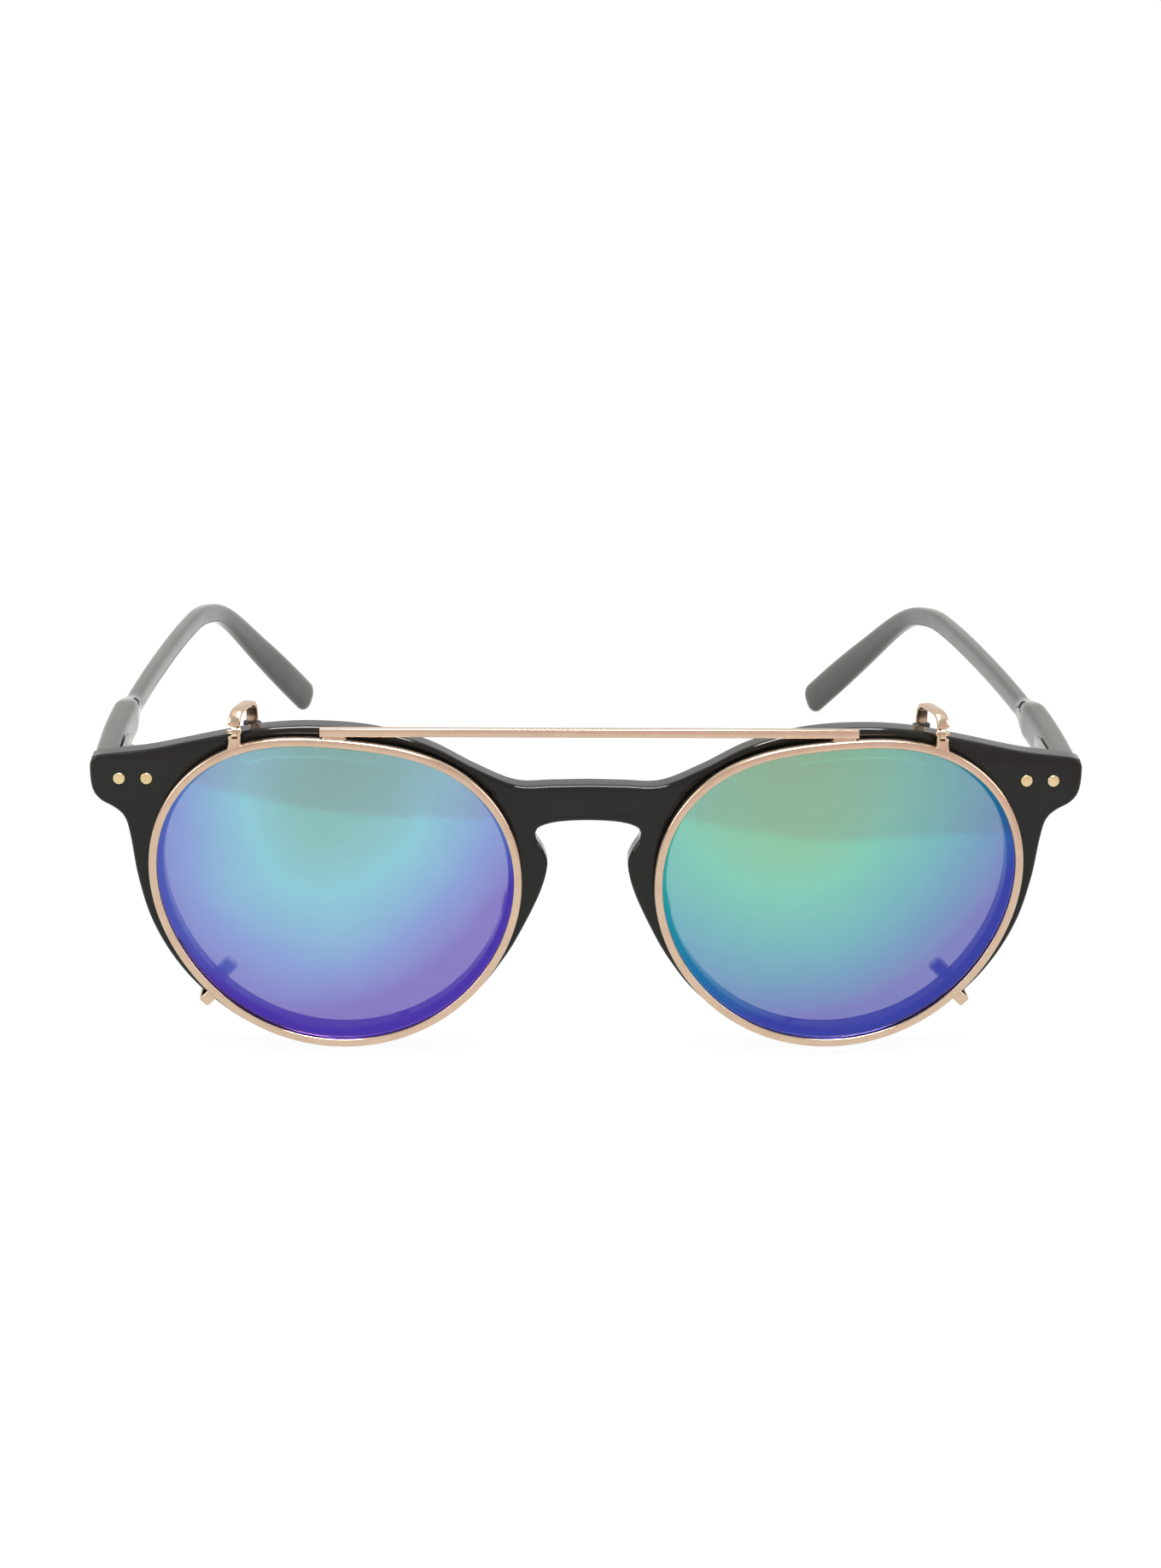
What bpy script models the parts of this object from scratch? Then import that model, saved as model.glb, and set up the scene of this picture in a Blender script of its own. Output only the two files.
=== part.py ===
"""Spectacles with a clip-on pair of flip-up sun lenses, standing on a table. Metres, +Z up, front faces -Y.

Every piece is shaped in the plane of the spectacle front (front face at y = 0, lens centres at z = 0). The
finished glasses are then leaned back until the rims and the temple tips stand on z = 0.
"""

import math

import bmesh
import bpy
from mathutils import Matrix, Vector

MM = 0.001

# Lens shape: clip rim outline as radius over angle, for the lens at +X
OUTLINE_RADIUS = 24.6
OUTLINE_WIDENING = 1.6
OUTLINE_SHOULDER = 0.55
OUTLINE_FLAT_TOP = 0.85
OUTLINE_LEAN = 0.15
OUTLINE_SQUARENESS = 0.2
OUTLINE_LIFT = 0.2
OUTLINE_STEPS = 60
LENS_GAP_HALF = 10.9  # from the middle of the bridge to the circle of the outline radius
LENS_CENTRE_X = LENS_GAP_HALF + OUTLINE_RADIUS

# Overall
END_REACH = 9.6  # end piece beyond the circle of the outline radius
FRONT_HALF_WIDTH = LENS_CENTRE_X + OUTLINE_RADIUS + END_REACH
FRONT_THICKNESS = 3.8
FRONT_BEVEL = 0.65
FACE_FORM = 1.5  # how far the ends of the front sit behind the bridge
FACE_FORM_FROM = 8.0
FACE_FORM_TO = FRONT_HALF_WIDTH - 9.7
REST_LEAN_DEG = 5.6

# Clip rims and mirrored lenses
RIM_WIDTH = 1.15
RIM_DEPTH = 1.6
RIM_GROOVE = 0.4
RIM_GAP = 1.0  # rims in front of the spectacle front
RIM_MID_Y = -RIM_GAP - RIM_DEPTH / 2.0
MIRROR_THICKNESS = 0.8
MIRROR_BULGE = 1.0
FIT_GAP = 0.06

# Spectacle front
OPENING_INSET = 1.9  # opening edge inside the clip rim's outer edge
CLEAR_THICKNESS = 1.3
CLEAR_BULGE = 0.9
CLEAR_EDGE = 0.6  # how far the clear lens reaches into its groove
END_HEIGHT = 6.0
END_MIDDLE_Z = OUTLINE_RADIUS - 9.0
BRIDGE_TOP = OUTLINE_RADIUS - 9.4
BRIDGE_HEIGHT = 5.3
KEYHOLE_TOP = BRIDGE_TOP - BRIDGE_HEIGHT
NOSE_HALF_GAP = LENS_GAP_HALF - 5.25
PAD_DEPTH = 4.6

# Brow bar
BAR_HALF_LENGTH = LENS_CENTRE_X + 2.0
BAR_SIZE = 1.2
BAR_CLEAR = 0.45  # between bar and rim
BAR_FOOT = 4.0

# Top hooks and flip joint
HOOK_X = LENS_CENTRE_X + 13.8
HOOK_POST = 2.1  # from the rim's top edge at the hook to the flip axis
HOOK_TURN_DEG = 17.0
HOOK_WIDTH = 1.7
HOOK_THICKNESS = 0.7
ARCH_RISE = 2.6  # top of the arch above the flip axis
ARCH_DROP = 3.4  # end of the arch below the flip axis
ARCH_CLEAR = 0.05  # rubber sleeve behind the front
KNUCKLE_RADIUS = 0.8
KNUCKLE_WIDTH = 0.7
FORK_CHEEK = 0.45
PIN_RADIUS = 0.3
MOVE_GAP = 0.08
SLEEVE_WALL = 0.42

# Bottom hooks
LOW_HOOK_ANGLE_DEG = -42.0
LOW_HOOK_WIDTH = 1.6
LOW_HOOK_THICKNESS = 0.6
LOW_HOOK_CLEAR = 0.3

# Temples and hinges
HINGE_X = FRONT_HALF_WIDTH - 5.1
HINGE_Z = END_MIDDLE_Z + 0.1
HINGE_PLATE = 0.65  # from the back of the front to the plate's own back
BARREL_RADIUS = 1.1
BARREL_CLEAR = 0.15
HINGE_GAP_Y = HINGE_PLATE + BARREL_CLEAR + BARREL_RADIUS  # hinge axis behind the back of the front
BARREL_HEIGHT = 1.6
SCREW_RADIUS = 0.5
TEMPLE_INNER_X = HINGE_X + BARREL_RADIUS + 0.2
TEMPLE_THICKNESS = 3.6
TEMPLE_HEIGHT = 5.4
TEMPLE_SLIM_THICKNESS = 2.6  # behind the step
TEMPLE_SLIM_HEIGHT = 4.0
PADDLE_HEIGHT = 5.2
TEMPLE_FRONT_GAP = 0.3
TEMPLE_LENGTH = 125.4  # along Y, from the back of the front to the last section
TEMPLE_TIP_IN = 21.5
TEMPLE_TIP_DOWN = 24.98
RIVET_RADIUS = 0.82
RIVET_X = (HINGE_X - 2.8, HINGE_X + 1.0)
RIVET_Z = END_MIDDLE_Z


def face_form(x):
    """How far back the front lies at this x."""
    t = min(max((abs(x) - FACE_FORM_FROM) / (FACE_FORM_TO - FACE_FORM_FROM), 0.0), 1.0)
    return FACE_FORM * t * t * (3.0 - 2.0 * t)


def outline_radius(angle):
    r = OUTLINE_RADIUS + OUTLINE_LIFT * math.sin(angle)
    r += OUTLINE_WIDENING * math.cos(2.0 * angle) + OUTLINE_SHOULDER * math.sin(2.0 * angle)
    r += OUTLINE_FLAT_TOP * math.sin(3.0 * angle) - OUTLINE_LEAN * math.cos(3.0 * angle)
    return r - OUTLINE_SQUARENESS * math.cos(4.0 * angle)


def outline_point(angle, inset):
    """A point of the lens outline moved inwards along its normal, and that normal."""
    step = 0.01
    before = outline_radius(angle - step)
    after = outline_radius(angle + step)
    ax = before * math.cos(angle - step)
    az = before * math.sin(angle - step)
    bx = after * math.cos(angle + step)
    bz = after * math.sin(angle + step)
    normal = Vector((bz - az, 0.0, ax - bx)).normalized()
    r = outline_radius(angle)
    point = Vector((LENS_CENTRE_X + r * math.cos(angle), 0.0, r * math.sin(angle)))
    return point - normal * inset, normal


def smooth_loop(points, per_span):
    """A closed centripetal-like curve through the points, sampled evenly in each span."""
    count = len(points)
    result = []
    for i in range(count):
        p0 = Vector(points[i - 1])
        p1 = Vector(points[i])
        p2 = Vector(points[(i + 1) % count])
        p3 = Vector(points[(i + 2) % count])
        spans = max(1, round((p2 - p1).length / per_span))
        for k in range(spans):
            t = k / spans
            a = 2.0 * p1
            b = (p2 - p0) * t
            c = (2.0 * p0 - 5.0 * p1 + 4.0 * p2 - p3) * t * t
            d = (3.0 * p1 - p0 - 3.0 * p2 + p3) * t * t * t
            result.append((a + b + c + d) * 0.5)
    return result


def smooth_path(points, spans):
    """An open curve through the points with the same smoothing."""
    ghost = [points[0]] + list(points) + [points[-1]]
    result = []
    for i in range(1, len(ghost) - 2):
        p0, p1, p2, p3 = (Vector(p) for p in ghost[i - 1 : i + 3])
        for k in range(spans):
            t = k / spans
            a = 2.0 * p1
            b = (p2 - p0) * t
            c = (2.0 * p0 - 5.0 * p1 + 4.0 * p2 - p3) * t * t
            d = (3.0 * p1 - p0 - 3.0 * p2 + p3) * t * t * t
            result.append((a + b + c + d) * 0.5)
    result.append(Vector(points[-1]))
    return result


def rounded_section(half_u, half_v, roundness, count):
    """Points round a rounded rectangle; roundness 2 is an ellipse, more is squarer."""
    points = []
    for k in range(count):
        t = 2.0 * math.pi * (k + 0.5) / count
        c = math.cos(t)
        s = math.sin(t)
        u = half_u * math.copysign(abs(c) ** (2.0 / roundness), c)
        v = half_v * math.copysign(abs(s) ** (2.0 / roundness), s)
        points.append((u, v))
    return points


def rings_to_mesh(rings, closed):
    """One closed body from rings of equally many points, capped at both ends unless it closes on itself."""
    bm = bmesh.new()
    rows = [[bm.verts.new(p) for p in ring] for ring in rings]
    count = len(rows[0])
    spans = len(rows) if closed else len(rows) - 1
    for i in range(spans):
        here = rows[i]
        there = rows[(i + 1) % len(rows)]
        for k in range(count):
            j = (k + 1) % count
            bm.faces.new((here[k], here[j], there[j], there[k]))
    if not closed:
        bm.faces.new(reversed(rows[0]))
        bm.faces.new(rows[-1])
    bmesh.ops.recalc_face_normals(bm, faces=bm.faces[:])
    return bm


def sweep(stations):
    """stations: (centre, u axis, v axis, section points). The rings may turn back inside for a cup."""
    rings = []
    for centre, u, v, section in stations:
        rings.append([Vector(centre) + Vector(u) * a + Vector(v) * b for a, b in section])
    return rings_to_mesh(rings, False)


def box(low, high):
    bm = bmesh.new()
    size = [high[i] - low[i] for i in range(3)]
    middle = [(high[i] + low[i]) / 2.0 for i in range(3)]
    bmesh.ops.create_cube(bm, size=1.0)
    bmesh.ops.scale(bm, vec=size, verts=bm.verts[:])
    bmesh.ops.translate(bm, vec=middle, verts=bm.verts[:])
    return bm


def cylinder(start, end, radius, count):
    bm = bmesh.new()
    start = Vector(start)
    end = Vector(end)
    along = end - start
    bmesh.ops.create_cone(
        bm, cap_ends=True, segments=count, radius1=radius, radius2=radius, depth=along.length
    )
    turn = along.to_track_quat("Z", "Y").to_matrix().to_4x4()
    bmesh.ops.transform(bm, matrix=Matrix.Translation((start + end) / 2.0) @ turn, verts=bm.verts[:])
    return bm


def mesh_object(name, bm):
    """A mesh object in metres, in no collection yet."""
    mesh = bpy.data.meshes.new(name)
    bm.to_mesh(mesh)
    bm.free()
    return bpy.data.objects.new(name, mesh)


def combine(base, others, operation):
    """Applies one Boolean per other piece to the bmesh and returns the result; the pieces are used up."""
    obj = mesh_object("work", base)
    bpy.context.scene.collection.objects.link(obj)
    tools = [mesh_object("tool", other) for other in others]
    for tool in tools:
        bpy.context.scene.collection.objects.link(tool)
        modifier = obj.modifiers.new("cut", "BOOLEAN")
        modifier.operation = operation
        modifier.solver = "EXACT"
        modifier.object = tool
    graph = bpy.context.evaluated_depsgraph_get()
    mesh = bpy.data.meshes.new_from_object(obj.evaluated_get(graph))
    for used in tools + [obj]:
        bpy.data.objects.remove(used)
    bm = bmesh.new()
    bm.from_mesh(mesh)
    bpy.data.meshes.remove(mesh)
    bmesh.ops.remove_doubles(bm, verts=bm.verts[:], dist=0.00002)
    slits = [edge for edge in bm.edges if len(edge.link_faces) == 1]
    bmesh.ops.holes_fill(bm, edges=slits, sides=4)
    return bm


def sheared(bm):
    """Moves every point back by the face form at its x."""
    for vert in bm.verts:
        vert.co.y += face_form(vert.co.x)
    return bm


def mirrored(bm):
    other = bm.copy()
    for vert in other.verts:
        vert.co.x = -vert.co.x
    bmesh.ops.reverse_faces(other, faces=other.faces[:])
    return other


def mirrored_halves(bm):
    """Keeps the +X half and joins its mirror image to it at x = 0."""
    geometry = bm.verts[:] + bm.edges[:] + bm.faces[:]
    bmesh.ops.bisect_plane(
        bm, geom=geometry, dist=0.00002, plane_co=(0.0, 0.0, 0.0), plane_no=(1.0, 0.0, 0.0), clear_inner=True
    )
    for vert in bm.verts:
        if abs(vert.co.x) < 0.0001:
            vert.co.x = 0.0
    other = mirrored(bm)
    mesh = bpy.data.meshes.new("half")
    other.to_mesh(mesh)
    other.free()
    bm.from_mesh(mesh)
    bpy.data.meshes.remove(mesh)
    bmesh.ops.remove_doubles(bm, verts=bm.verts[:], dist=0.0001)
    return bm


PARTS = {}


def clear_scene():
    for obj in list(bpy.data.objects):
        bpy.data.objects.remove(obj)


def material(name, colour, metallic, roughness, transmission=0.0):
    found = bpy.data.materials.get(name)
    if found:
        return found
    made = bpy.data.materials.new(name)
    made.use_nodes = True
    shader = made.node_tree.nodes["Principled BSDF"]
    shader.inputs["Base Color"].default_value = (*colour, 1.0)
    shader.inputs["Metallic"].default_value = metallic
    shader.inputs["Roughness"].default_value = roughness
    shader.inputs["Transmission Weight"].default_value = transmission
    made.diffuse_color = (*colour, 1.0)
    return made


MATERIALS = {
    "acetate": ((0.012, 0.012, 0.011), 0.0, 0.12, 0.0),
    "clear_lens": ((0.95, 0.97, 0.97), 0.0, 0.02, 0.95),
    "mirror_coating": ((0.25, 0.55, 0.68), 0.6, 0.06, 0.0),
    "champagne_metal": ((0.80, 0.64, 0.50), 1.0, 0.22, 0.0),
    "rivet_metal": ((0.85, 0.72, 0.42), 1.0, 0.25, 0.0),
    "hinge_metal": ((0.55, 0.54, 0.52), 1.0, 0.3, 0.0),
    "black_rubber": ((0.02, 0.02, 0.02), 0.0, 0.6, 0.0),
    "clear_silicone": ((0.85, 0.87, 0.88), 0.0, 0.25, 0.6),
}


def add(name, bm, look, pivot=(0.0, 0.0, 0.0)):
    """Stores a piece. pivot is a point on its joint axis, which becomes its origin."""
    PARTS[name] = (bm, look, Vector(pivot))


def add_pair(name, bm, look, pivot=(0.0, 0.0, 0.0)):
    other = (-pivot[0], pivot[1], pivot[2])
    add("left_" + name, mirrored(bm), look, other)
    add("right_" + name, bm, look, pivot)


# Wall of the front outside the rim's outline, by angle round the lens at +X
TOP_WALLS = ((139.0, 1.07), (122.5, 0.87), (103.9, 1.19), (84.2, 1.12), (67.0, 1.0), (52.0, 1.73))
LOW_WALLS = (
    (14.0, 2.95),
    (2.5, 1.9),
    (-11.0, 1.6),
    (-25.5, 1.4),
    (-40.5, 1.2),
    (-58.0, 1.1),
    (-75.0, 1.0),
    (-91.0, 0.85),
    (-107.0, 0.75),
    (-122.0, 0.8),
    (-141.0, 0.68),
    (-156.0, 0.89),
    (-168.5, 1.54),
)


def front_wall(angle_deg):
    """Wall of the front outside the rim at an angle of the lower half."""
    for (a, wall_a), (b, wall_b) in zip(LOW_WALLS, LOW_WALLS[1:]):
        if b <= angle_deg <= a:
            return wall_a + (wall_b - wall_a) * (a - angle_deg) / (a - b)
    return LOW_WALLS[0][1]


def wall_points(walls):
    points = [outline_point(math.radians(angle), -wall)[0] for angle, wall in walls]
    return [(p.x, p.z) for p in points]


def front_profile():
    """Outline of the front, from the middle of the bridge clockwise round the +X side and back."""
    end = FRONT_HALF_WIDTH
    end_top = END_MIDDLE_Z + END_HEIGHT / 2.0
    end_low = END_MIDDLE_Z - END_HEIGHT / 2.0
    right = [(0.0, BRIDGE_TOP), (NOSE_HALF_GAP - 0.65, BRIDGE_TOP - 0.1)]
    right.append((LENS_GAP_HALF - 0.7, BRIDGE_TOP - 0.1))
    right.extend(wall_points(TOP_WALLS))
    right.append((end - 8.7, end_top + 1.2))
    right.append((end - 1.4, end_top + 0.3))
    right.append((end - 0.25, end_top - 0.4))
    right.append((end, end_top - 2.0))
    right.append((end - 0.3, end_low + 1.3))
    right.append((end - 1.4, end_low - 0.3))
    right.append((end - 3.4, end_low - 1.5))
    right.append((end - 4.7, end_low - 2.9))
    right.extend(wall_points(LOW_WALLS))
    right.append((NOSE_HALF_GAP + 0.85, KEYHOLE_TOP - 10.3))
    right.append((NOSE_HALF_GAP, KEYHOLE_TOP - 6.5))
    right.append((NOSE_HALF_GAP + 0.55, KEYHOLE_TOP - 4.5))
    right.append((NOSE_HALF_GAP + 1.65, KEYHOLE_TOP - 2.6))
    right.append((NOSE_HALF_GAP + 1.45, KEYHOLE_TOP - 1.2))
    right.append((NOSE_HALF_GAP - 1.05, KEYHOLE_TOP - 0.3))
    right.append((0.0, KEYHOLE_TOP))
    left = [(-x, z) for x, z in reversed(right[1:-1])]
    points = [(x, z, 0.0) for x, z in right + left]
    return smooth_loop(points, 2.4)


def curve_plate(splines, thickness, bevel):
    """A plate from closed outlines drawn in x and z, with rounded edges; the back face is at +thickness."""
    data = bpy.data.curves.new("plate", "CURVE")
    data.dimensions = "2D"
    data.fill_mode = "BOTH"
    data.extrude = thickness / 2.0 - bevel
    data.bevel_depth = bevel
    data.bevel_resolution = 1
    data.offset = -bevel
    for loop in splines:
        spline = data.splines.new("POLY")
        spline.points.add(len(loop) - 1)
        for point, p in zip(spline.points, loop):
            point.co = (p[0], p[1], 0.0, 1.0)
        spline.use_cyclic_u = True
    obj = bpy.data.objects.new("plate", data)
    bpy.context.scene.collection.objects.link(obj)
    graph = bpy.context.evaluated_depsgraph_get()
    mesh = bpy.data.meshes.new_from_object(obj.evaluated_get(graph))
    bpy.data.objects.remove(obj)
    bm = bmesh.new()
    bm.from_mesh(mesh)
    bmesh.ops.remove_doubles(bm, verts=bm.verts[:], dist=0.0005)
    for vert in bm.verts:
        x, z, y = vert.co
        vert.co = Vector((x, y + thickness / 2.0, z))
    bmesh.ops.recalc_face_normals(bm, faces=bm.faces[:])
    return bm


def lens_disc(inset, thickness, bulge, middle_y, rings):
    """A thin lens to this inset from the outline, bulging towards -Y, in concentric rings."""
    bm = bmesh.new()
    faces = []
    for side in (-1.0, 1.0):
        rows = []
        for k in range(rings + 1):
            ratio = k / rings
            row = []
            for i in range(OUTLINE_STEPS):
                point, _ = outline_point(2.0 * math.pi * i / OUTLINE_STEPS, inset)
                x = LENS_CENTRE_X + (point.x - LENS_CENTRE_X) * ratio
                y = middle_y + side * thickness / 2.0 - bulge * (1.0 - ratio * ratio)
                row.append(Vector((x, y, point.z * ratio)))
            rows.append(row)
        centre = bm.verts.new(rows[0][0])
        verts = [[bm.verts.new(p) for p in row] for row in rows[1:]]
        for i in range(OUTLINE_STEPS):
            j = (i + 1) % OUTLINE_STEPS
            bm.faces.new((centre, verts[0][i], verts[0][j]))
            for inner, outer in zip(verts, verts[1:]):
                bm.faces.new((inner[i], outer[i], outer[j], inner[j]))
        faces.append(verts[-1])
    for i in range(OUTLINE_STEPS):
        j = (i + 1) % OUTLINE_STEPS
        bm.faces.new((faces[0][i], faces[1][i], faces[1][j], faces[0][j]))
    bmesh.ops.recalc_face_normals(bm, faces=bm.faces[:])
    return bm


def rim_ring(profile):
    """The profile, in (inset, y), carried round the lens outline."""
    rings = []
    for i in range(OUTLINE_STEPS):
        angle = 2.0 * math.pi * i / OUTLINE_STEPS
        ring = []
        for inset, y in profile:
            point, _ = outline_point(angle, inset)
            ring.append(Vector((point.x, RIM_MID_Y + y, point.z)))
        rings.append(ring)
    return rings_to_mesh(rings, True)


def rim_cutter(gap):
    """The solid that a clip rim and all inside it take up, with this gap round it."""
    return lens_disc(-gap, RIM_DEPTH + 2.0 * gap, 0.0, RIM_MID_Y, 1)


def build_front():
    opening = [
        outline_point(2.0 * math.pi * i / OUTLINE_STEPS, OPENING_INSET)[0] for i in range(OUTLINE_STEPS)
    ]
    right = [(p.x, p.z) for p in reversed(opening)]
    left = [(-p.x, p.z) for p in opening]
    outer = [(p[0], p[1]) for p in front_profile()]
    front = curve_plate((list(reversed(outer)), right, left), FRONT_THICKNESS, FRONT_BEVEL)
    middle = FRONT_THICKNESS / 2.0
    pad = bmesh.new()
    bmesh.ops.create_uvsphere(pad, u_segments=14, v_segments=8, radius=1.0)
    bmesh.ops.scale(pad, vec=(2.0, PAD_DEPTH, 6.2), verts=pad.verts[:])
    turn = Matrix.Rotation(math.radians(-17.0), 4, "Y")
    place = Matrix.Translation((LENS_GAP_HALF - 1.3, FRONT_THICKNESS - 0.9, -2.0))
    bmesh.ops.transform(pad, matrix=place @ turn, verts=pad.verts[:])
    bmesh.ops.delete(pad, geom=[v for v in pad.verts if v.co.y < 1.2], context="VERTS")
    bmesh.ops.holes_fill(pad, edges=pad.edges[:])
    bmesh.ops.recalc_face_normals(pad, faces=pad.faces[:])
    front = combine(front, [pad], "UNION")
    groove = lens_disc(
        OPENING_INSET - CLEAR_EDGE - FIT_GAP, CLEAR_THICKNESS + 2.0 * FIT_GAP, 0.0, middle, 1
    )
    cutters = [groove]
    for x in RIVET_X:
        start = (x, -1.0, RIVET_Z)
        end = (x, FRONT_THICKNESS + 1.0, RIVET_Z)
        cutters.append(cylinder(start, end, RIVET_RADIUS * 0.5 + FIT_GAP, 12))
    front = combine(front, cutters, "DIFFERENCE")
    add("frame_front", sheared(mirrored_halves(front)), "acetate")


def trimmed_lens(inset, thickness, bulge, middle_y, flat):
    """A lens whose rim zone is a flat lip of this width, so that it sits in its groove."""
    disc = lens_disc(inset, thickness, 0.0, middle_y, 3)
    edge = outline_radius(0.0) - inset - flat
    for vert in disc.verts:
        dx = vert.co.x - LENS_CENTRE_X
        ratio = min(math.hypot(dx, vert.co.z) / edge, 1.0)
        vert.co.y -= bulge * (1.0 - ratio * ratio)
    return disc


def build_lenses():
    clear = trimmed_lens(
        OPENING_INSET - CLEAR_EDGE, CLEAR_THICKNESS, CLEAR_BULGE, FRONT_THICKNESS / 2.0, 4.5
    )
    add_pair("clear_lens", sheared(clear), "clear_lens")
    mirror = trimmed_lens(
        RIM_WIDTH - RIM_GROOVE + FIT_GAP, MIRROR_THICKNESS, MIRROR_BULGE, RIM_MID_Y, 4.5
    )
    add_pair("mirror_lens", sheared(mirror), "mirror_coating", flip_pivot())


def flip_y():
    return RIM_MID_Y + face_form(HOOK_X)


def rim_height(x):
    """Height of the rim's outer edge above the lens centre, above this x."""
    angle = math.pi / 2.0
    while outline_point(angle, 0.0)[0].x < x:
        angle -= 0.002
    return outline_point(angle, 0.0)[0].z


FLIP_Z = rim_height(HOOK_X) + HOOK_POST
BAR_Z = rim_height(LENS_CENTRE_X) + BAR_CLEAR + BAR_SIZE / 2.0
ARCH_TOP_Z = FLIP_Z + ARCH_RISE
ARCH_END_Z = FLIP_Z - ARCH_DROP


def arch_reach():
    """Length of the arch from the flip axis to its back leg, so that the sleeve clears the front's back."""
    turn = math.radians(HOOK_TURN_DEG)
    sleeve = HOOK_THICKNESS / 2.0 + SLEEVE_WALL + (HOOK_WIDTH / 2.0 + SLEEVE_WALL) * math.sin(turn)
    return (FRONT_THICKNESS - RIM_MID_Y + sleeve + ARCH_CLEAR) / math.cos(turn)


def flip_pivot():
    return (HOOK_X, flip_y(), FLIP_Z)


def build_rims():
    half = RIM_DEPTH / 2.0
    slot = MIRROR_THICKNESS / 2.0 + FIT_GAP
    soft = 0.28
    profile = (
        (soft, -half),
        (0.0, -half + soft),
        (0.0, half - soft),
        (soft, half),
        (RIM_WIDTH - 0.12, half),
        (RIM_WIDTH, half - 0.12),
        (RIM_WIDTH, slot),
        (RIM_WIDTH - RIM_GROOVE, slot),
        (RIM_WIDTH - RIM_GROOVE, -slot),
        (RIM_WIDTH, -slot),
        (RIM_WIDTH, -half + 0.12),
        (RIM_WIDTH - 0.12, -half),
    )
    add_pair("clip_rim", sheared(rim_ring(profile)), "champagne_metal", flip_pivot())


def build_bar():
    """Straight bar with a deeper foot over each rim, cut to the rim."""
    y = RIM_MID_Y + face_form(LENS_CENTRE_X)
    half = BAR_SIZE / 2.0
    foot_low = outline_point(math.pi / 2.0, 0.0)[0].z - 0.3
    shaft = []
    for x, size in (
        (-BAR_HALF_LENGTH, 0.8),
        (-BAR_HALF_LENGTH + 0.12, 1.0),
        (BAR_HALF_LENGTH - 0.12, 1.0),
        (BAR_HALF_LENGTH, 0.8),
    ):
        section = rounded_section(half * size, half * size, 5.0, 12)
        shaft.append(((x, y, BAR_Z), (0.0, 1.0, 0.0), (0.0, 0.0, 1.0), section))
    bar = sweep(shaft)
    feet = []
    cutters = []
    rim = sheared(rim_cutter(FIT_GAP))
    for side in (-1.0, 1.0):
        far = side * (BAR_HALF_LENGTH - 0.1)
        near = side * (BAR_HALF_LENGTH - BAR_FOOT)
        low = (min(far, near), y - half + 0.1, foot_low)
        high = (max(far, near), y + half - 0.1, BAR_Z)
        feet.append(box(low, high))
        cutters.append(rim.copy() if side > 0 else mirrored(rim))
    bar = combine(bar, feet, "UNION")
    bar = combine(bar, cutters, "DIFFERENCE")
    rim.free()
    add("brow_bar", bar, "champagne_metal", (0.0, flip_y(), FLIP_Z))


def strip_frames(path, side_axis):
    """Tangent frames for a flat band whose width lies along side_axis."""
    frames = []
    for i, point in enumerate(path):
        ahead = path[min(i + 1, len(path) - 1)]
        behind = path[max(i - 1, 0)]
        along = (ahead - behind).normalized()
        frames.append((point, along, along.cross(side_axis).normalized()))
    return frames


def band(path, side_axis, width, thickness, end_shrink=0.75):
    """A flat band along the path, with softened ends."""
    frames = strip_frames(path, side_axis)
    full = rounded_section(width / 2.0, thickness / 2.0, 4.0, 12)
    small = [(a * end_shrink, b * end_shrink) for a, b in full]
    stations = []
    first, along, across = frames[0]
    stations.append((first - along * 0.12, side_axis, across, small))
    for point, _, across in frames:
        stations.append((point, side_axis, across, full))
    last, along, across = frames[-1]
    stations.append((last + along * 0.12, side_axis, across, small))
    return sweep(stations)


def cup(path, side_axis, width, thickness, wall):
    """A sleeve closed at the path's end and open at its start, over a band of this width and thickness."""
    frames = strip_frames(path, side_axis)
    outer = rounded_section(width / 2.0 + wall, thickness / 2.0 + wall, 3.0, 16)
    inner = rounded_section(width / 2.0 + FIT_GAP, thickness / 2.0 + FIT_GAP, 4.0, 16)
    last, along, across = frames[-1]
    stations = []
    for shift, size in ((0.62, 0.55), (0.5, 0.85), (0.25, 1.0)):
        section = [(a * size, b * size) for a, b in outer]
        stations.append((last + along * shift, side_axis, across, section))
    for point, _, cross in reversed(frames):
        stations.append((point, side_axis, cross, outer))
    for point, _, cross in frames:
        stations.append((point, side_axis, cross, inner))
    stations.append((last + along * (0.12 + FIT_GAP), side_axis, across, inner))
    return sweep(stations)


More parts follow.
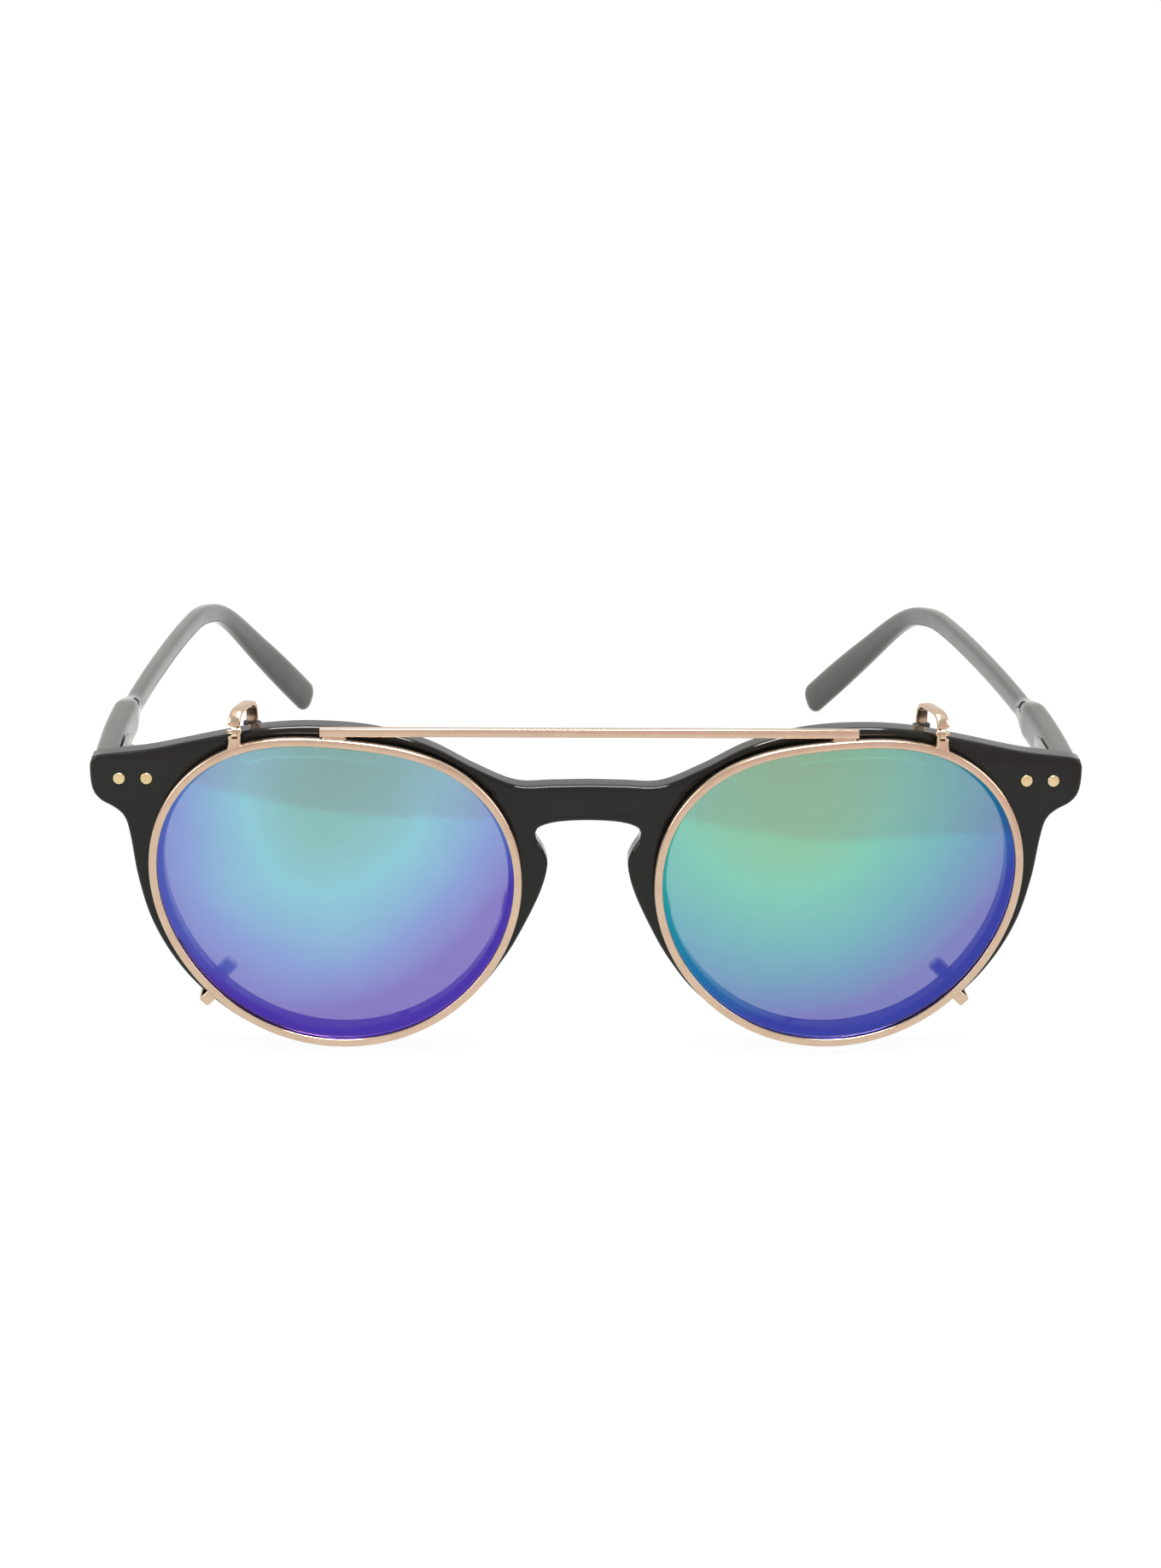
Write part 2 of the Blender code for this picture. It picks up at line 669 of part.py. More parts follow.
def build_top_hooks():
    y = flip_y()
    turn = math.radians(HOOK_TURN_DEG)
    back = Vector((-math.sin(turn), math.cos(turn), 0.0))
    side_axis = Vector((math.cos(turn), math.sin(turn), 0.0))
    base = Vector((HOOK_X, y, 0.0))
    reach_back = arch_reach()

    def place(reach, z):
        return base + back * reach + Vector((0.0, 0.0, z))

    shape = (
        place(0.0, FLIP_Z + 0.15),
        place(0.05, FLIP_Z + 1.1),
        place(0.55, ARCH_TOP_Z - 0.6),
        place(1.7, ARCH_TOP_Z),
        place(reach_back - 1.6, ARCH_TOP_Z),
        place(reach_back - 0.45, ARCH_TOP_Z - 0.55),
        place(reach_back, ARCH_TOP_Z - 1.8),
        place(reach_back, ARCH_TOP_Z - 3.4),
        place(reach_back, ARCH_END_Z),
    )
    path = smooth_path(shape, 2)
    arch = band(path, side_axis, HOOK_WIDTH, HOOK_THICKNESS)
    half = KNUCKLE_WIDTH / 2.0
    barrel = cylinder((HOOK_X - half, y, FLIP_Z), (HOOK_X + half, y, FLIP_Z), KNUCKLE_RADIUS, 20)
    relief = []
    reach = half + MOVE_GAP
    for side in (-1.0, 1.0):
        near = HOOK_X + side * half
        far = HOOK_X + side * (half + FORK_CHEEK + 1.0)
        relief.append(cylinder((near, y, FLIP_Z), (far, y, FLIP_Z), KNUCKLE_RADIUS + MOVE_GAP, 20))
    arch = combine(arch, relief, "DIFFERENCE")
    arch = combine(arch, [barrel], "UNION")
    bore = cylinder((HOOK_X - 2.0, y, FLIP_Z), (HOOK_X + 2.0, y, FLIP_Z), PIN_RADIUS + FIT_GAP, 12)
    arch = combine(arch, [bore.copy()], "DIFFERENCE")
    add_pair("top_hook", arch, "champagne_metal", flip_pivot())

    sleeve_path = [p for p in path if p.z < ARCH_TOP_Z - 1.7 and (p - base).dot(back) > 3.0]
    sleeve = cup(sleeve_path, side_axis, HOOK_WIDTH, HOOK_THICKNESS, SLEEVE_WALL)
    add_pair("top_hook_sleeve", sleeve, "black_rubber", flip_pivot())

    fork_half = reach + FORK_CHEEK
    pin = cylinder((HOOK_X - fork_half - 0.1, y, FLIP_Z), (HOOK_X + fork_half + 0.1, y, FLIP_Z), PIN_RADIUS, 12)
    add_pair("flip_pin", pin, "champagne_metal", flip_pivot())

    foot_z = rim_height(HOOK_X)
    stations = []
    for z, width, depth in (
        (foot_z - 0.9, 1.35, 0.72),
        (foot_z + 0.5, 1.15, 0.68),
        (foot_z + 1.2, fork_half, 0.62),
        (FLIP_Z - 0.5, fork_half, 0.62),
        (FLIP_Z, fork_half, 0.62),
    ):
        section = rounded_section(width, depth, 5.0, 16)
        stations.append(((HOOK_X, y, z), (1.0, 0.0, 0.0), (0.0, 1.0, 0.0), section))
    post = sweep(stations)
    cheek = cylinder(
        (HOOK_X - fork_half, y, FLIP_Z), (HOOK_X + fork_half, y, FLIP_Z), KNUCKLE_RADIUS - 0.05, 20
    )
    post = combine(post, [cheek], "UNION")
    slot = cylinder(
        (HOOK_X - reach, y, FLIP_Z), (HOOK_X + reach, y, FLIP_Z), KNUCKLE_RADIUS + MOVE_GAP, 20
    )
    above = box((HOOK_X - reach, y - 2.0, FLIP_Z), (HOOK_X + reach, y + 2.0, FLIP_Z + 2.0))
    rim = sheared(rim_cutter(FIT_GAP))
    post = combine(post, [slot, above, bore, rim], "DIFFERENCE")
    add_pair("hook_post", post, "champagne_metal", flip_pivot())


def build_bottom_hooks():
    angle = math.radians(LOW_HOOK_ANGLE_DEG)
    start, normal = outline_point(angle, 0.0)
    form = face_form(start.x)
    side_axis = Vector((0.0, 1.0, 0.0)).cross(normal).normalized()
    out = front_wall(LOW_HOOK_ANGLE_DEG) + LOW_HOOK_CLEAR + LOW_HOOK_THICKNESS / 2.0
    rear = FRONT_THICKNESS + LOW_HOOK_CLEAR + SLEEVE_WALL + LOW_HOOK_THICKNESS / 2.0

    def place(outward, y):
        return Vector((start.x, form + y, start.z)) + normal * outward

    shape = (
        place(-RIM_WIDTH * 0.5, RIM_MID_Y),
        place(out - 0.7, RIM_MID_Y),
        place(out - 0.12, RIM_MID_Y + 0.35),
        place(out, RIM_MID_Y + 1.1),
        place(out, FRONT_THICKNESS / 2.0),
        place(out, rear - 0.9),
        place(out - 0.3, rear - 0.25),
        place(out - 1.1, rear),
        place(-1.2, rear),
        place(-3.0, rear),
    )
    path = smooth_path(shape, 2)
    hook = band(path, side_axis, LOW_HOOK_WIDTH, LOW_HOOK_THICKNESS)
    hook = combine(hook, [sheared(rim_cutter(FIT_GAP))], "DIFFERENCE")
    add_pair("bottom_hook", hook, "champagne_metal", flip_pivot())
    tail = [p for p in path[-8:]]
    sleeve = cup(tail, side_axis, LOW_HOOK_WIDTH, LOW_HOOK_THICKNESS, SLEEVE_WALL * 0.8)
    add_pair("bottom_hook_sleeve", sleeve, "clear_silicone", flip_pivot())


def hinge_y():
    return face_form(HINGE_X) + FRONT_THICKNESS + HINGE_GAP_Y


def hinge_pivot():
    return (HINGE_X, hinge_y(), HINGE_Z)


def build_hinges():
    y = hinge_y()
    back = face_form(HINGE_X) + FRONT_THICKNESS
    half = BARREL_HEIGHT / 2.0
    step = BARREL_HEIGHT + MOVE_GAP
    low = HINGE_Z - half
    high = HINGE_Z + half

    plate_low = (RIVET_X[0] - 1.3, back + FIT_GAP, HINGE_Z - 2.2)
    plate = box(plate_low, (HINGE_X + 1.0, back + HINGE_PLATE, HINGE_Z + 2.2))
    arm = box((HINGE_X - 0.75, back + 0.3, low), (HINGE_X + 0.75, y, high))
    barrel = cylinder((HINGE_X, y, low), (HINGE_X, y, high), BARREL_RADIUS, 20)
    front_leaf = combine(plate, [arm, barrel], "UNION")
    bore = cylinder((HINGE_X, y, HINGE_Z - 6.0), (HINGE_X, y, HINGE_Z + 6.0), SCREW_RADIUS + FIT_GAP, 16)
    front_leaf = combine(front_leaf, [bore.copy()], "DIFFERENCE")
    add_pair("hinge_front_leaf", front_leaf, "hinge_metal")

    inner = TEMPLE_INNER_X
    leaf_half = step + half - 0.15
    leaf = box((inner - 0.75, y + 0.17, HINGE_Z - leaf_half), (inner - FIT_GAP, y + 8.5, HINGE_Z + leaf_half))
    pieces = []
    for side in (-1.0, 1.0):
        middle = HINGE_Z + side * step
        pieces.append(cylinder((HINGE_X, y, middle - half), (HINGE_X, y, middle + half), BARREL_RADIUS, 20))
    leaf = combine(leaf, pieces, "UNION")
    window = cylinder(
        (HINGE_X, y, HINGE_Z - half - MOVE_GAP),
        (HINGE_X, y, HINGE_Z + half + MOVE_GAP),
        BARREL_RADIUS + MOVE_GAP,
        20,
    )
    leaf = combine(leaf, [window, bore], "DIFFERENCE")
    add_pair("hinge_temple_leaf", leaf, "hinge_metal", hinge_pivot())

    top = HINGE_Z + step + half
    bottom = HINGE_Z - step - half
    screw = cylinder((HINGE_X, y, bottom), (HINGE_X, y, top + 0.3), SCREW_RADIUS, 16)
    head = cylinder((HINGE_X, y, top + FIT_GAP), (HINGE_X, y, top + 0.45), SCREW_RADIUS * 1.7, 16)
    screw = combine(screw, [head], "UNION")
    add_pair("hinge_screw", screw, "hinge_metal", hinge_pivot())


def soft_step(t, start, width):
    t = min(max((t - start) / width, 0.0), 1.0)
    return t * t * (3.0 - 2.0 * t)


def build_temples():
    """A bar of rounded section along a path that runs back, bends down and in, and ends in a paddle."""
    start_y = face_form(HINGE_X) + FRONT_THICKNESS + TEMPLE_FRONT_GAP
    first_x = TEMPLE_INNER_X + TEMPLE_THICKNESS / 2.0
    # How far in, back and down, as parts of the whole, and a rise above the hinge in millimetres
    bends = (
        (0.033, 0.207, 0.0, 0.9),
        (0.121, 0.383, 0.0, 1.3),
        (0.242, 0.574, 0.0, 1.2),
        (0.335, 0.686, 0.0, 0.2),
        (0.456, 0.782, 0.142, 0.0),
        (0.679, 0.889, 0.519, 0.0),
        (1.0, 1.0, 1.0, 0.0),
    )
    path = [Vector((first_x, start_y, HINGE_Z + 0.2)), Vector((first_x, start_y + 13.0, HINGE_Z + 0.5))]
    for inward, back, down, rise in bends:
        x = first_x - TEMPLE_TIP_IN * inward
        path.append(Vector((x, start_y + TEMPLE_LENGTH * back, HINGE_Z + rise - TEMPLE_TIP_DOWN * down)))
    path = smooth_path(path, 4)
    lengths = [0.0]
    for a, b in zip(path, path[1:]):
        lengths.append(lengths[-1] + (b - a).length)
    total = lengths[-1]
    stations = []
    for i, point in enumerate(path):
        ahead = path[min(i + 1, len(path) - 1)]
        behind = path[max(i - 1, 0)]
        along = (ahead - behind).normalized()
        u = along.cross(Vector((0.0, 0.0, 1.0))).normalized()
        v = u.cross(along).normalized()
        t = lengths[i] / total
        slim = soft_step(t, 0.16, 0.06)
        paddle = soft_step(t, 0.70, 0.22)
        half_u = (TEMPLE_THICKNESS + (TEMPLE_SLIM_THICKNESS - TEMPLE_THICKNESS) * slim) / 2.0
        half_v = TEMPLE_HEIGHT + (TEMPLE_SLIM_HEIGHT - TEMPLE_HEIGHT) * slim
        half_v = (half_v + (PADDLE_HEIGHT - TEMPLE_SLIM_HEIGHT) * paddle) / 2.0
        roundness = 4.0 - 0.9 * slim - 0.6 * paddle
        if i == 0:
            small = rounded_section(half_u - 0.35, half_v - 0.35, roundness, 16)
            stations.append((point, u, v, small))
            point = point + along * 0.35
        stations.append((point, u, v, rounded_section(half_u, half_v, roundness, 16)))
        if i == len(path) - 1:
            for shift, size in ((0.8, 0.95), (1.5, 0.82), (2.1, 0.6), (2.4, 0.35)):
                section = rounded_section(half_u * size, half_v * size, 2.3, 16)
                stations.append((point + along * shift, u, v, section))
    add_pair("temple", sweep(stations), "acetate", hinge_pivot())


def build_rivets():
    for side, word in ((-1.0, "left"), (1.0, "right")):
        for x, place in zip(RIVET_X, ("inner", "outer")):
            y = face_form(x)
            stations = []
            for dy, r in ((-0.28, 0.35), (-0.2, 0.7), (-0.06, 0.98), (-0.02, 1.0)):
                stations.append((dy, RIVET_RADIUS * r))
            stations.append((-0.02, RIVET_RADIUS * 0.5))
            stations.append((FRONT_THICKNESS, RIVET_RADIUS * 0.5))
            rings = []
            for dy, r in stations:
                section = rounded_section(r, r, 2.0, 20)
                rings.append(
                    ((side * x, y + dy - 0.03, RIVET_Z), (1.0, 0.0, 0.0), (0.0, 0.0, 1.0), section)
                )
            add(f"{word}_{place}_rivet", sweep(rings), "rivet_metal")


def place_parts():
    """Scales the pieces to metres, leans the glasses back, stands them on z = 0 and centres them."""
    lean = Matrix.Rotation(-math.radians(REST_LEAN_DEG), 4, "X") @ Matrix.Scale(MM, 4)
    low = Vector((math.inf, math.inf, math.inf))
    high = -low
    for bm, _, _ in PARTS.values():
        for vert in bm.verts:
            at = lean @ vert.co
            low = Vector(map(min, low, at))
            high = Vector(map(max, high, at))
    shift = Vector((0.0, -(low.y + high.y) / 2.0, -low.z))
    collection = bpy.data.collections.new("clip_on_flip_lenses")
    bpy.context.scene.collection.children.link(collection)
    for name, (bm, look, pivot) in PARTS.items():
        origin = lean @ pivot + shift
        for vert in bm.verts:
            vert.co = lean @ vert.co + shift - origin
        obj = mesh_object(name, bm)
        obj.location = origin
        obj.data.materials.append(material(look, *MATERIALS[look]))
        collection.objects.link(obj)


def main():
    clear_scene()
    build_front()
    build_lenses()
    build_rims()
    build_bar()
    build_top_hooks()
    build_bottom_hooks()
    build_hinges()
    build_temples()
    build_rivets()
    place_parts()


main()
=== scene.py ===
# %% [markdown]
# # Spectacles with clip-on flip lenses
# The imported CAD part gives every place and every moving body. This lesson builds a finer piece over each CAD solid,
# gives it a procedural finish, and sets up a pale studio with soft light.

import math

import bmesh
import bpy
from mathutils import Matrix, Vector


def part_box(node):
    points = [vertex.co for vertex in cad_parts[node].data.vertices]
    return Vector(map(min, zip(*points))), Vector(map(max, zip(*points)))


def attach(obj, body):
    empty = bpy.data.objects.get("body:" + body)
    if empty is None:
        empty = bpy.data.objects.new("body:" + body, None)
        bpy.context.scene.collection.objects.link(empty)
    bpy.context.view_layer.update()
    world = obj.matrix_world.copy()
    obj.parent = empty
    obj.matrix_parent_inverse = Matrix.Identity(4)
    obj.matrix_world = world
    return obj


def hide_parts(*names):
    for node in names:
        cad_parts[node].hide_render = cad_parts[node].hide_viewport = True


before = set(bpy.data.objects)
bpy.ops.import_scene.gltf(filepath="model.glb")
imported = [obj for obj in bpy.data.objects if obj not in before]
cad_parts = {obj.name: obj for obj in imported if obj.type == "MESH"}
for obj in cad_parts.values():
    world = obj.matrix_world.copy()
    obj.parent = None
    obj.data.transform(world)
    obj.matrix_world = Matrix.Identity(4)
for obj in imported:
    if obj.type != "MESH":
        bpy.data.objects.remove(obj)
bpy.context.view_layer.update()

# %% [markdown]
# ## Main sizes
# Spectacles are drawn flat, in the plane of their front. Here the front face is y = 0 and the lens centres lie on
# z = 0, in millimetres. The same sizes as the CAD part keep each finer piece on top of its solid.

# %% Sizes in millimetres
LENS_X = 35.5
FRONT_HALF_WIDTH = 69.7
FRONT_THICKNESS = 3.8
OPENING_INSET = 1.9
RIM_WIDTH = 1.15
RIM_DEPTH = 1.6
RIM_Y = -1.8
BAR_HALF = 37.5
BAR_Z = 23.2
HOOK_X = 49.3
FLIP_Z = 23.03
HINGE_X = 64.6
HINGE_Z = 15.7
END_Z = 15.6
HOOK_TURN = math.radians(17.0)
OUTLINE_STEPS = 200


def face_form(x):
    """The front bows: its ends sit 1.5 mm further back than the bridge."""
    t = min(max((abs(x) - 8.0) / 52.0, 0.0), 1.0)
    return 1.5 * t * t * (3.0 - 2.0 * t)


# %% [markdown]
# ## From the front's plane to the world
# The glasses lean back by a few degrees, so that the front and the tips of the temples touch the table. The centre
# of a flip pin, which the CAD part gives, fixes the shift exactly.

# %% World transform
LEAN = math.radians(5.6)
turn = Matrix.Rotation(-LEAN, 4, "X") @ Matrix.Scale(0.001, 4)
pin_low, pin_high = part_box("right_flip_pin")
pin_local = Vector((HOOK_X, RIM_Y + face_form(HOOK_X), FLIP_Z))
to_world = Matrix.Translation((pin_low + pin_high) / 2.0 - turn @ pin_local) @ turn
print("middle of the front in metres:", tuple(round(v, 4) for v in to_world @ Vector((0.0, 0.0, 0.0))))

# %% [markdown]
# ## Outlines
# The rims follow one outline: a circle with a few gentle waves that widen it, flatten its top and give it
# shoulders. The front adds a wall of changing width round it, a bridge with a keyhole nose, and two end pieces.

# %% Lens outline and front outline
TOP_WALLS = ((139.0, 1.07), (122.5, 0.87), (103.9, 1.19), (84.2, 1.12), (67.0, 1.0), (52.0, 1.73))
LOW_WALLS = (
    (14.0, 2.95), (2.5, 1.9), (-11.0, 1.6), (-25.5, 1.4), (-40.5, 1.2), (-58.0, 1.1), (-75.0, 1.0),
    (-91.0, 0.85), (-107.0, 0.75), (-122.0, 0.8), (-141.0, 0.68), (-156.0, 0.89), (-168.5, 1.54),
)
BRIDGE_TO_WALL = [(0.0, 15.2), (5.0, 15.1), (10.2, 15.1)]
END_PIECE = [
    (61.0, 19.8), (68.3, 18.9), (69.45, 18.2), (69.7, 16.6), (69.4, 13.9), (68.3, 12.3), (66.3, 11.1), (65.0, 9.7),
]
KEYHOLE = [(6.5, -0.4), (5.65, 3.4), (6.2, 5.4), (7.3, 7.3), (7.1, 8.7), (4.6, 9.6), (0.0, 9.9)]


def outline_radius(a):
    r = 24.6 + 0.2 * math.sin(a) + 1.6 * math.cos(2.0 * a) + 0.55 * math.sin(2.0 * a)
    return r + 0.85 * math.sin(3.0 * a) - 0.15 * math.cos(3.0 * a) - 0.2 * math.cos(4.0 * a)


def outline_point(a, inset):
    """A point of the outline moved inwards, and the outward normal there."""
    before, here, after = (
        Vector((outline_radius(b) * math.cos(b), 0.0, outline_radius(b) * math.sin(b))) for b in (a - 0.01, a, a + 0.01)
    )
    along = after - before
    normal = Vector((along.z, 0.0, -along.x)).normalized()
    return here + Vector((LENS_X, 0.0, 0.0)) - normal * inset, normal


def outline(inset, y=0.0):
    points = [outline_point(2.0 * math.pi * i / OUTLINE_STEPS, inset)[0] for i in range(OUTLINE_STEPS)]
    return [Vector((p.x, y, p.z)) for p in points]


def curve_through(points, per_span, closed=False):
    """Evenly spaced points on a smooth curve through the given ones."""
    points = [Vector(p) for p in points]
    count = len(points)
    result = []
    for i in range(count if closed else count - 1):
        reach = [(i + k) % count if closed else min(max(i + k, 0), count - 1) for k in (-1, 0, 1, 2)]
        p0, p1, p2, p3 = (points[k] for k in reach)
        spans = max(1, round((p2 - p1).length / per_span))
        for k in range(spans):
            t = k / spans
            bend = (p0 * 2.0 - p1 * 5.0 + p2 * 4.0 - p3) * t * t + (p1 * 3.0 - p0 - p2 * 3.0 + p3) * t * t * t
            result.append((p1 * 2.0 + (p2 - p0) * t + bend) * 0.5)
    return result if closed else result + [points[-1]]


def wall_points(walls):
    points = [outline_point(math.radians(angle), -wall)[0] for angle, wall in walls]
    return [(p.x, p.z) for p in points]


def front_outline():
    right = BRIDGE_TO_WALL + wall_points(TOP_WALLS) + END_PIECE + wall_points(LOW_WALLS) + KEYHOLE
    left = [(-x, z) for x, z in reversed(right[1:-1])]
    return curve_through([(x, z, 0.0) for x, z in right + left], 0.6, True)


# %% [markdown]
# ## Tools for shaping
# Most pieces here are one section carried along a path. The section is a circle whose points are moved to a rounded
# rectangle, and its ring of edges is extruded from place to place. At the end the two open rings are filled. That
# keeps every body closed and every row of faces even, which a smooth metal finish needs.

# %% Section and sweep
def rounded_section(half_u, half_v, roundness=4.0, count=32):
    """Points round a rounded rectangle; roundness 2 is an ellipse, more is squarer."""
    points = []
    for k in range(count):
        t = 2.0 * math.pi * (k + 0.5) / count
        u = math.copysign(abs(math.cos(t)) ** (2.0 / roundness), math.cos(t))
        v = math.copysign(abs(math.sin(t)) ** (2.0 / roundness), math.sin(t))
        points.append((half_u * u, half_v * v))
    return points


def grow(rings, closed=False, domes=None):
    """Extrudes a ring of edges through rings of points, then fills both ends or joins them to each other.

    domes moves the middles of the two end faces.
    """
    bm = bmesh.new()
    bmesh.ops.create_circle(bm, segments=len(rings[0]), radius=1.0)
    first = last = bm.edges[:]
    order = bm.verts[:]
    for vert, place in zip(order, rings[0]):
        vert.co = place
    for ring in rings[1:]:
        index = {tuple(vert.co): k for k, vert in enumerate(order)}
        grown = bmesh.ops.extrude_edge_only(bm, edges=last)["geom"]
        last = [item for item in grown if isinstance(item, bmesh.types.BMEdge) and item.is_boundary]
        verts = [item for item in grown if isinstance(item, bmesh.types.BMVert)]
        order = sorted(verts, key=lambda vert: index[tuple(vert.co)])
        for vert, place in zip(order, ring):
            vert.co = place
    if closed:
        bmesh.ops.bridge_loops(bm, edges=first + last)
    else:
        ends = [bmesh.ops.contextual_create(bm, geom=loop)["faces"][0] for loop in (first, last)]
        for face, shift in zip(ends, domes or ()):
            middle = bmesh.ops.poke(bm, faces=[face])["verts"][0]
            middle.co += Vector(shift)
    bmesh.ops.recalc_face_normals(bm, faces=bm.faces[:])
    return bm


def sweep(stations):
    """Each station is a centre, two axes and a section."""
    return grow([[Vector(c) + Vector(u) * a + Vector(v) * b for a, b in s] for c, u, v, s in stations])


# %% [markdown]
# Round pins and barrels start from a cone primitive with equal ends, and blocks from a cube. Both get a
# bevel, because no real edge is perfectly sharp and the small radius is what catches the light.

# %% Pins, blocks and joins
def pin(start, end, radius, bevel=0.06, segments=40):
    start, end = Vector(start), Vector(end)
    bm = bmesh.new()
    length = (end - start).length
    bmesh.ops.create_cone(bm, cap_ends=True, segments=segments, radius1=radius, radius2=radius, depth=length)
    rims = [edge for edge in bm.edges if abs(edge.verts[0].co.z - edge.verts[1].co.z) < 0.0001]
    bmesh.ops.bevel(bm, geom=rims, offset=bevel, affect="EDGES", segments=3, profile=0.5, material=-1)
    spin = Vector((0.0, 0.0, 1.0)).rotation_difference(end - start).to_matrix().to_4x4()
    bmesh.ops.transform(bm, matrix=Matrix.Translation((start + end) / 2.0) @ spin, verts=bm.verts[:])
    return bm


def block(low, high, bevel=0.1):
    bm = bmesh.new()
    bmesh.ops.create_cube(bm, size=1.0)
    bmesh.ops.scale(bm, vec=[b - a for a, b in zip(low, high)], verts=bm.verts[:])
    bmesh.ops.translate(bm, vec=[(a + b) / 2.0 for a, b in zip(low, high)], verts=bm.verts[:])
    bmesh.ops.bevel(bm, geom=bm.edges[:], offset=bevel, affect="EDGES", segments=3, profile=0.5, material=-1)
    return bm


def join(*shells):
    base = shells[0]
    for other in shells[1:]:
        mesh = bpy.data.meshes.new("joined")
        other.to_mesh(mesh)
        other.free()
        base.from_mesh(mesh)
        bpy.data.meshes.remove(mesh)
    return base


def new_object(name, bm):
    mesh = bpy.data.meshes.new(name)
    bm.to_mesh(mesh)
    bm.free()
    obj = bpy.data.objects.new(name, mesh)
    bpy.context.scene.collection.objects.link(obj)
    return obj


def cut_or_join(base, tools, operation):
    """A Boolean of the base with each tool. Base and tools are used up."""
    work = new_object("work", base)
    helpers = [new_object("tool", tool) for tool in tools]
    for helper in helpers:
        step = work.modifiers.new("step", "BOOLEAN")
        step.operation = operation
        step.solver = "EXACT"
        step.object = helper
    graph = bpy.context.evaluated_depsgraph_get()
    mesh = bpy.data.meshes.new_from_object(work.evaluated_get(graph))
    for used in helpers + [work]:
        bpy.data.objects.remove(used)
    bm = bmesh.new()
    bm.from_mesh(mesh)
    bpy.data.meshes.remove(mesh)
    return bm


# %% [markdown]
# ## Finishing a piece
# Each piece is bowed with the front if it belongs to it, and moved to its place in the world. It rides on a body and
# stands for one CAD node. Its drawing coordinates stay in the attribute `local_mm`, which the mirror coating reads.

# %% Place, ride and replace
made = []


def finish_piece(name, bm, look, body, node, bowed=False, sharp=40.0):
    for vert in bm.verts:
        if bowed:
            vert.co.y += face_form(vert.co.x)
    local = bm.verts.layers.float_vector.new("local_mm")
    for vert in bm.verts:
        vert[local] = vert.co
    bmesh.ops.transform(bm, matrix=to_world, verts=bm.verts[:])
    for face in bm.faces:
        face.smooth = True
    for edge in bm.edges:
        if len(edge.link_faces) == 2 and edge.calc_face_angle(0.0) > math.radians(sharp):
            edge.smooth = False
    obj = new_object(name, bm)
    obj.data.materials.append(look)
    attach(obj, body)
    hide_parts(node)
    made.append(obj)
    return obj


def other_side(bm):
    bm = bm.copy()
    bmesh.ops.scale(bm, vec=(-1.0, 1.0, 1.0), verts=bm.verts[:])
    bmesh.ops.reverse_faces(bm, faces=bm.faces[:])
    return bm


def finish_pair(node, bm, looks, bodies, bowed=False, sharp=40.0):
    """The piece at +X and its mirror image at -X. looks and bodies are given left first."""
    for side, piece, look, body in zip(("left", "right"), (other_side(bm), bm), looks, bodies):
        finish_piece(f"{side}_{node}_piece", piece, look, body, f"{side}_{node}", bowed, sharp)


FRAME = ("frame", "frame")
CLIP = ("clip_hooks", "clip_hooks")
FLIP = ("flip_lenses", "flip_lenses")
TEMPLES = ("left_temple", "right_temple")

# %% [markdown]
# ## A short way to write node trees
# A material is a small graph. These helpers add a node, link it and set its values, so that each finish below reads
# as a list of what the real surface does.

# %% Node helpers
class Finish:
    def __init__(self, name):
        self.material = bpy.data.materials.new(name)
        self.material.use_nodes = True
        self.tree = self.material.node_tree
        self.tree.nodes.clear()

    def add(self, kind, links=(), **values):
        node = self.tree.nodes.new("ShaderNode" + kind)
        for key, value in values.items():
            if hasattr(node, key) and key not in node.inputs:
                setattr(node, key, value)
            else:
                node.inputs[key.replace("_", " ")].default_value = value
        for socket, source in dict(links).items():
            self.tree.links.new(source, node.inputs[socket])
        return node

    def noise(self, scale, detail=3.0, stretch=(1.0, 1.0, 1.0)):
        place = self.add("Mapping", {"Vector": self.add("TexCoord").outputs["Object"]}, Scale=stretch)
        return self.add("TexNoise", {"Vector": place.outputs[0]}, Scale=scale, Detail=detail).outputs["Fac"]

    def span(self, source, low, high, start=0.0, end=1.0):
        node = self.add("MapRange", {"Value": source})
        for socket, value in (("From Min", start), ("From Max", end), ("To Min", low), ("To Max", high)):
            node.inputs[socket].default_value = value
        return node.outputs["Result"]

    def ramp(self, source, stops):
        node = self.add("ValToRGB", {"Fac": source})
        for _ in stops[2:]:
            node.color_ramp.elements.new(0.5)
        for element, (place, colour) in zip(node.color_ramp.elements, stops):
            element.position = place
            element.color = (*colour, 1.0)
        return node.outputs["Color"]

    def bump(self, source, strength, distance):
        return self.add("Bump", {"Height": source}, Strength=strength, Distance=distance).outputs["Normal"]

    def blend(self, amount, first, second):
        node = self.add("MixShader", {1: first.outputs[0], 2: second.outputs[0]})
        if isinstance(amount, float):
            node.inputs[0].default_value = amount
        else:
            self.tree.links.new(amount, node.inputs[0])
        return node

    def done(self, shader):
        self.tree.links.new(shader.outputs[0], self.add("OutputMaterial").inputs["Surface"])
        return self.material


# %% [markdown]
# ## Black acetate
# The front and the temples are tumbled plastic: nearly black, with a high polish, a faint wave left by the buffing
# wheel and a trace of handling haze. The polish is a low roughness, the wave is a weak bump. The temples catch more
# of the light along their sides and look paler than the front, so they get painted light: a lighter mix of the same
# finish, whose base colour is about five times paler.

# %% Acetate
def make_acetate(name, shade, gloss):
    f = Finish(name)
    haze = f.span(f.noise(700.0, 3.0), 0.05, 0.10, 0.3, 0.7)
    wave = f.bump(f.noise(140.0, 1.0), 0.12, 0.0004)
    dark, light = ((shade * k, shade * k, shade * k * 0.82) for k in (0.8, 1.2))
    tint = f.ramp(f.noise(60.0, 2.0), ((0.3, dark), (0.7, light)))
    links = {"Roughness": haze, "Normal": wave, "Base Color": tint}
    return f.done(f.add("BsdfPrincipled", links, IOR=1.5, Specular_IOR_Level=gloss))


ACETATE = make_acetate("black_acetate", 0.0062, 0.27)
# Painted light: the temples' base colour is about five times paler than the front's, standing in for the light their
# sides catch.
TEMPLE_ACETATE_PAINTED_LIGHT = make_acetate("temple_acetate_painted_light", 0.030, 0.62)

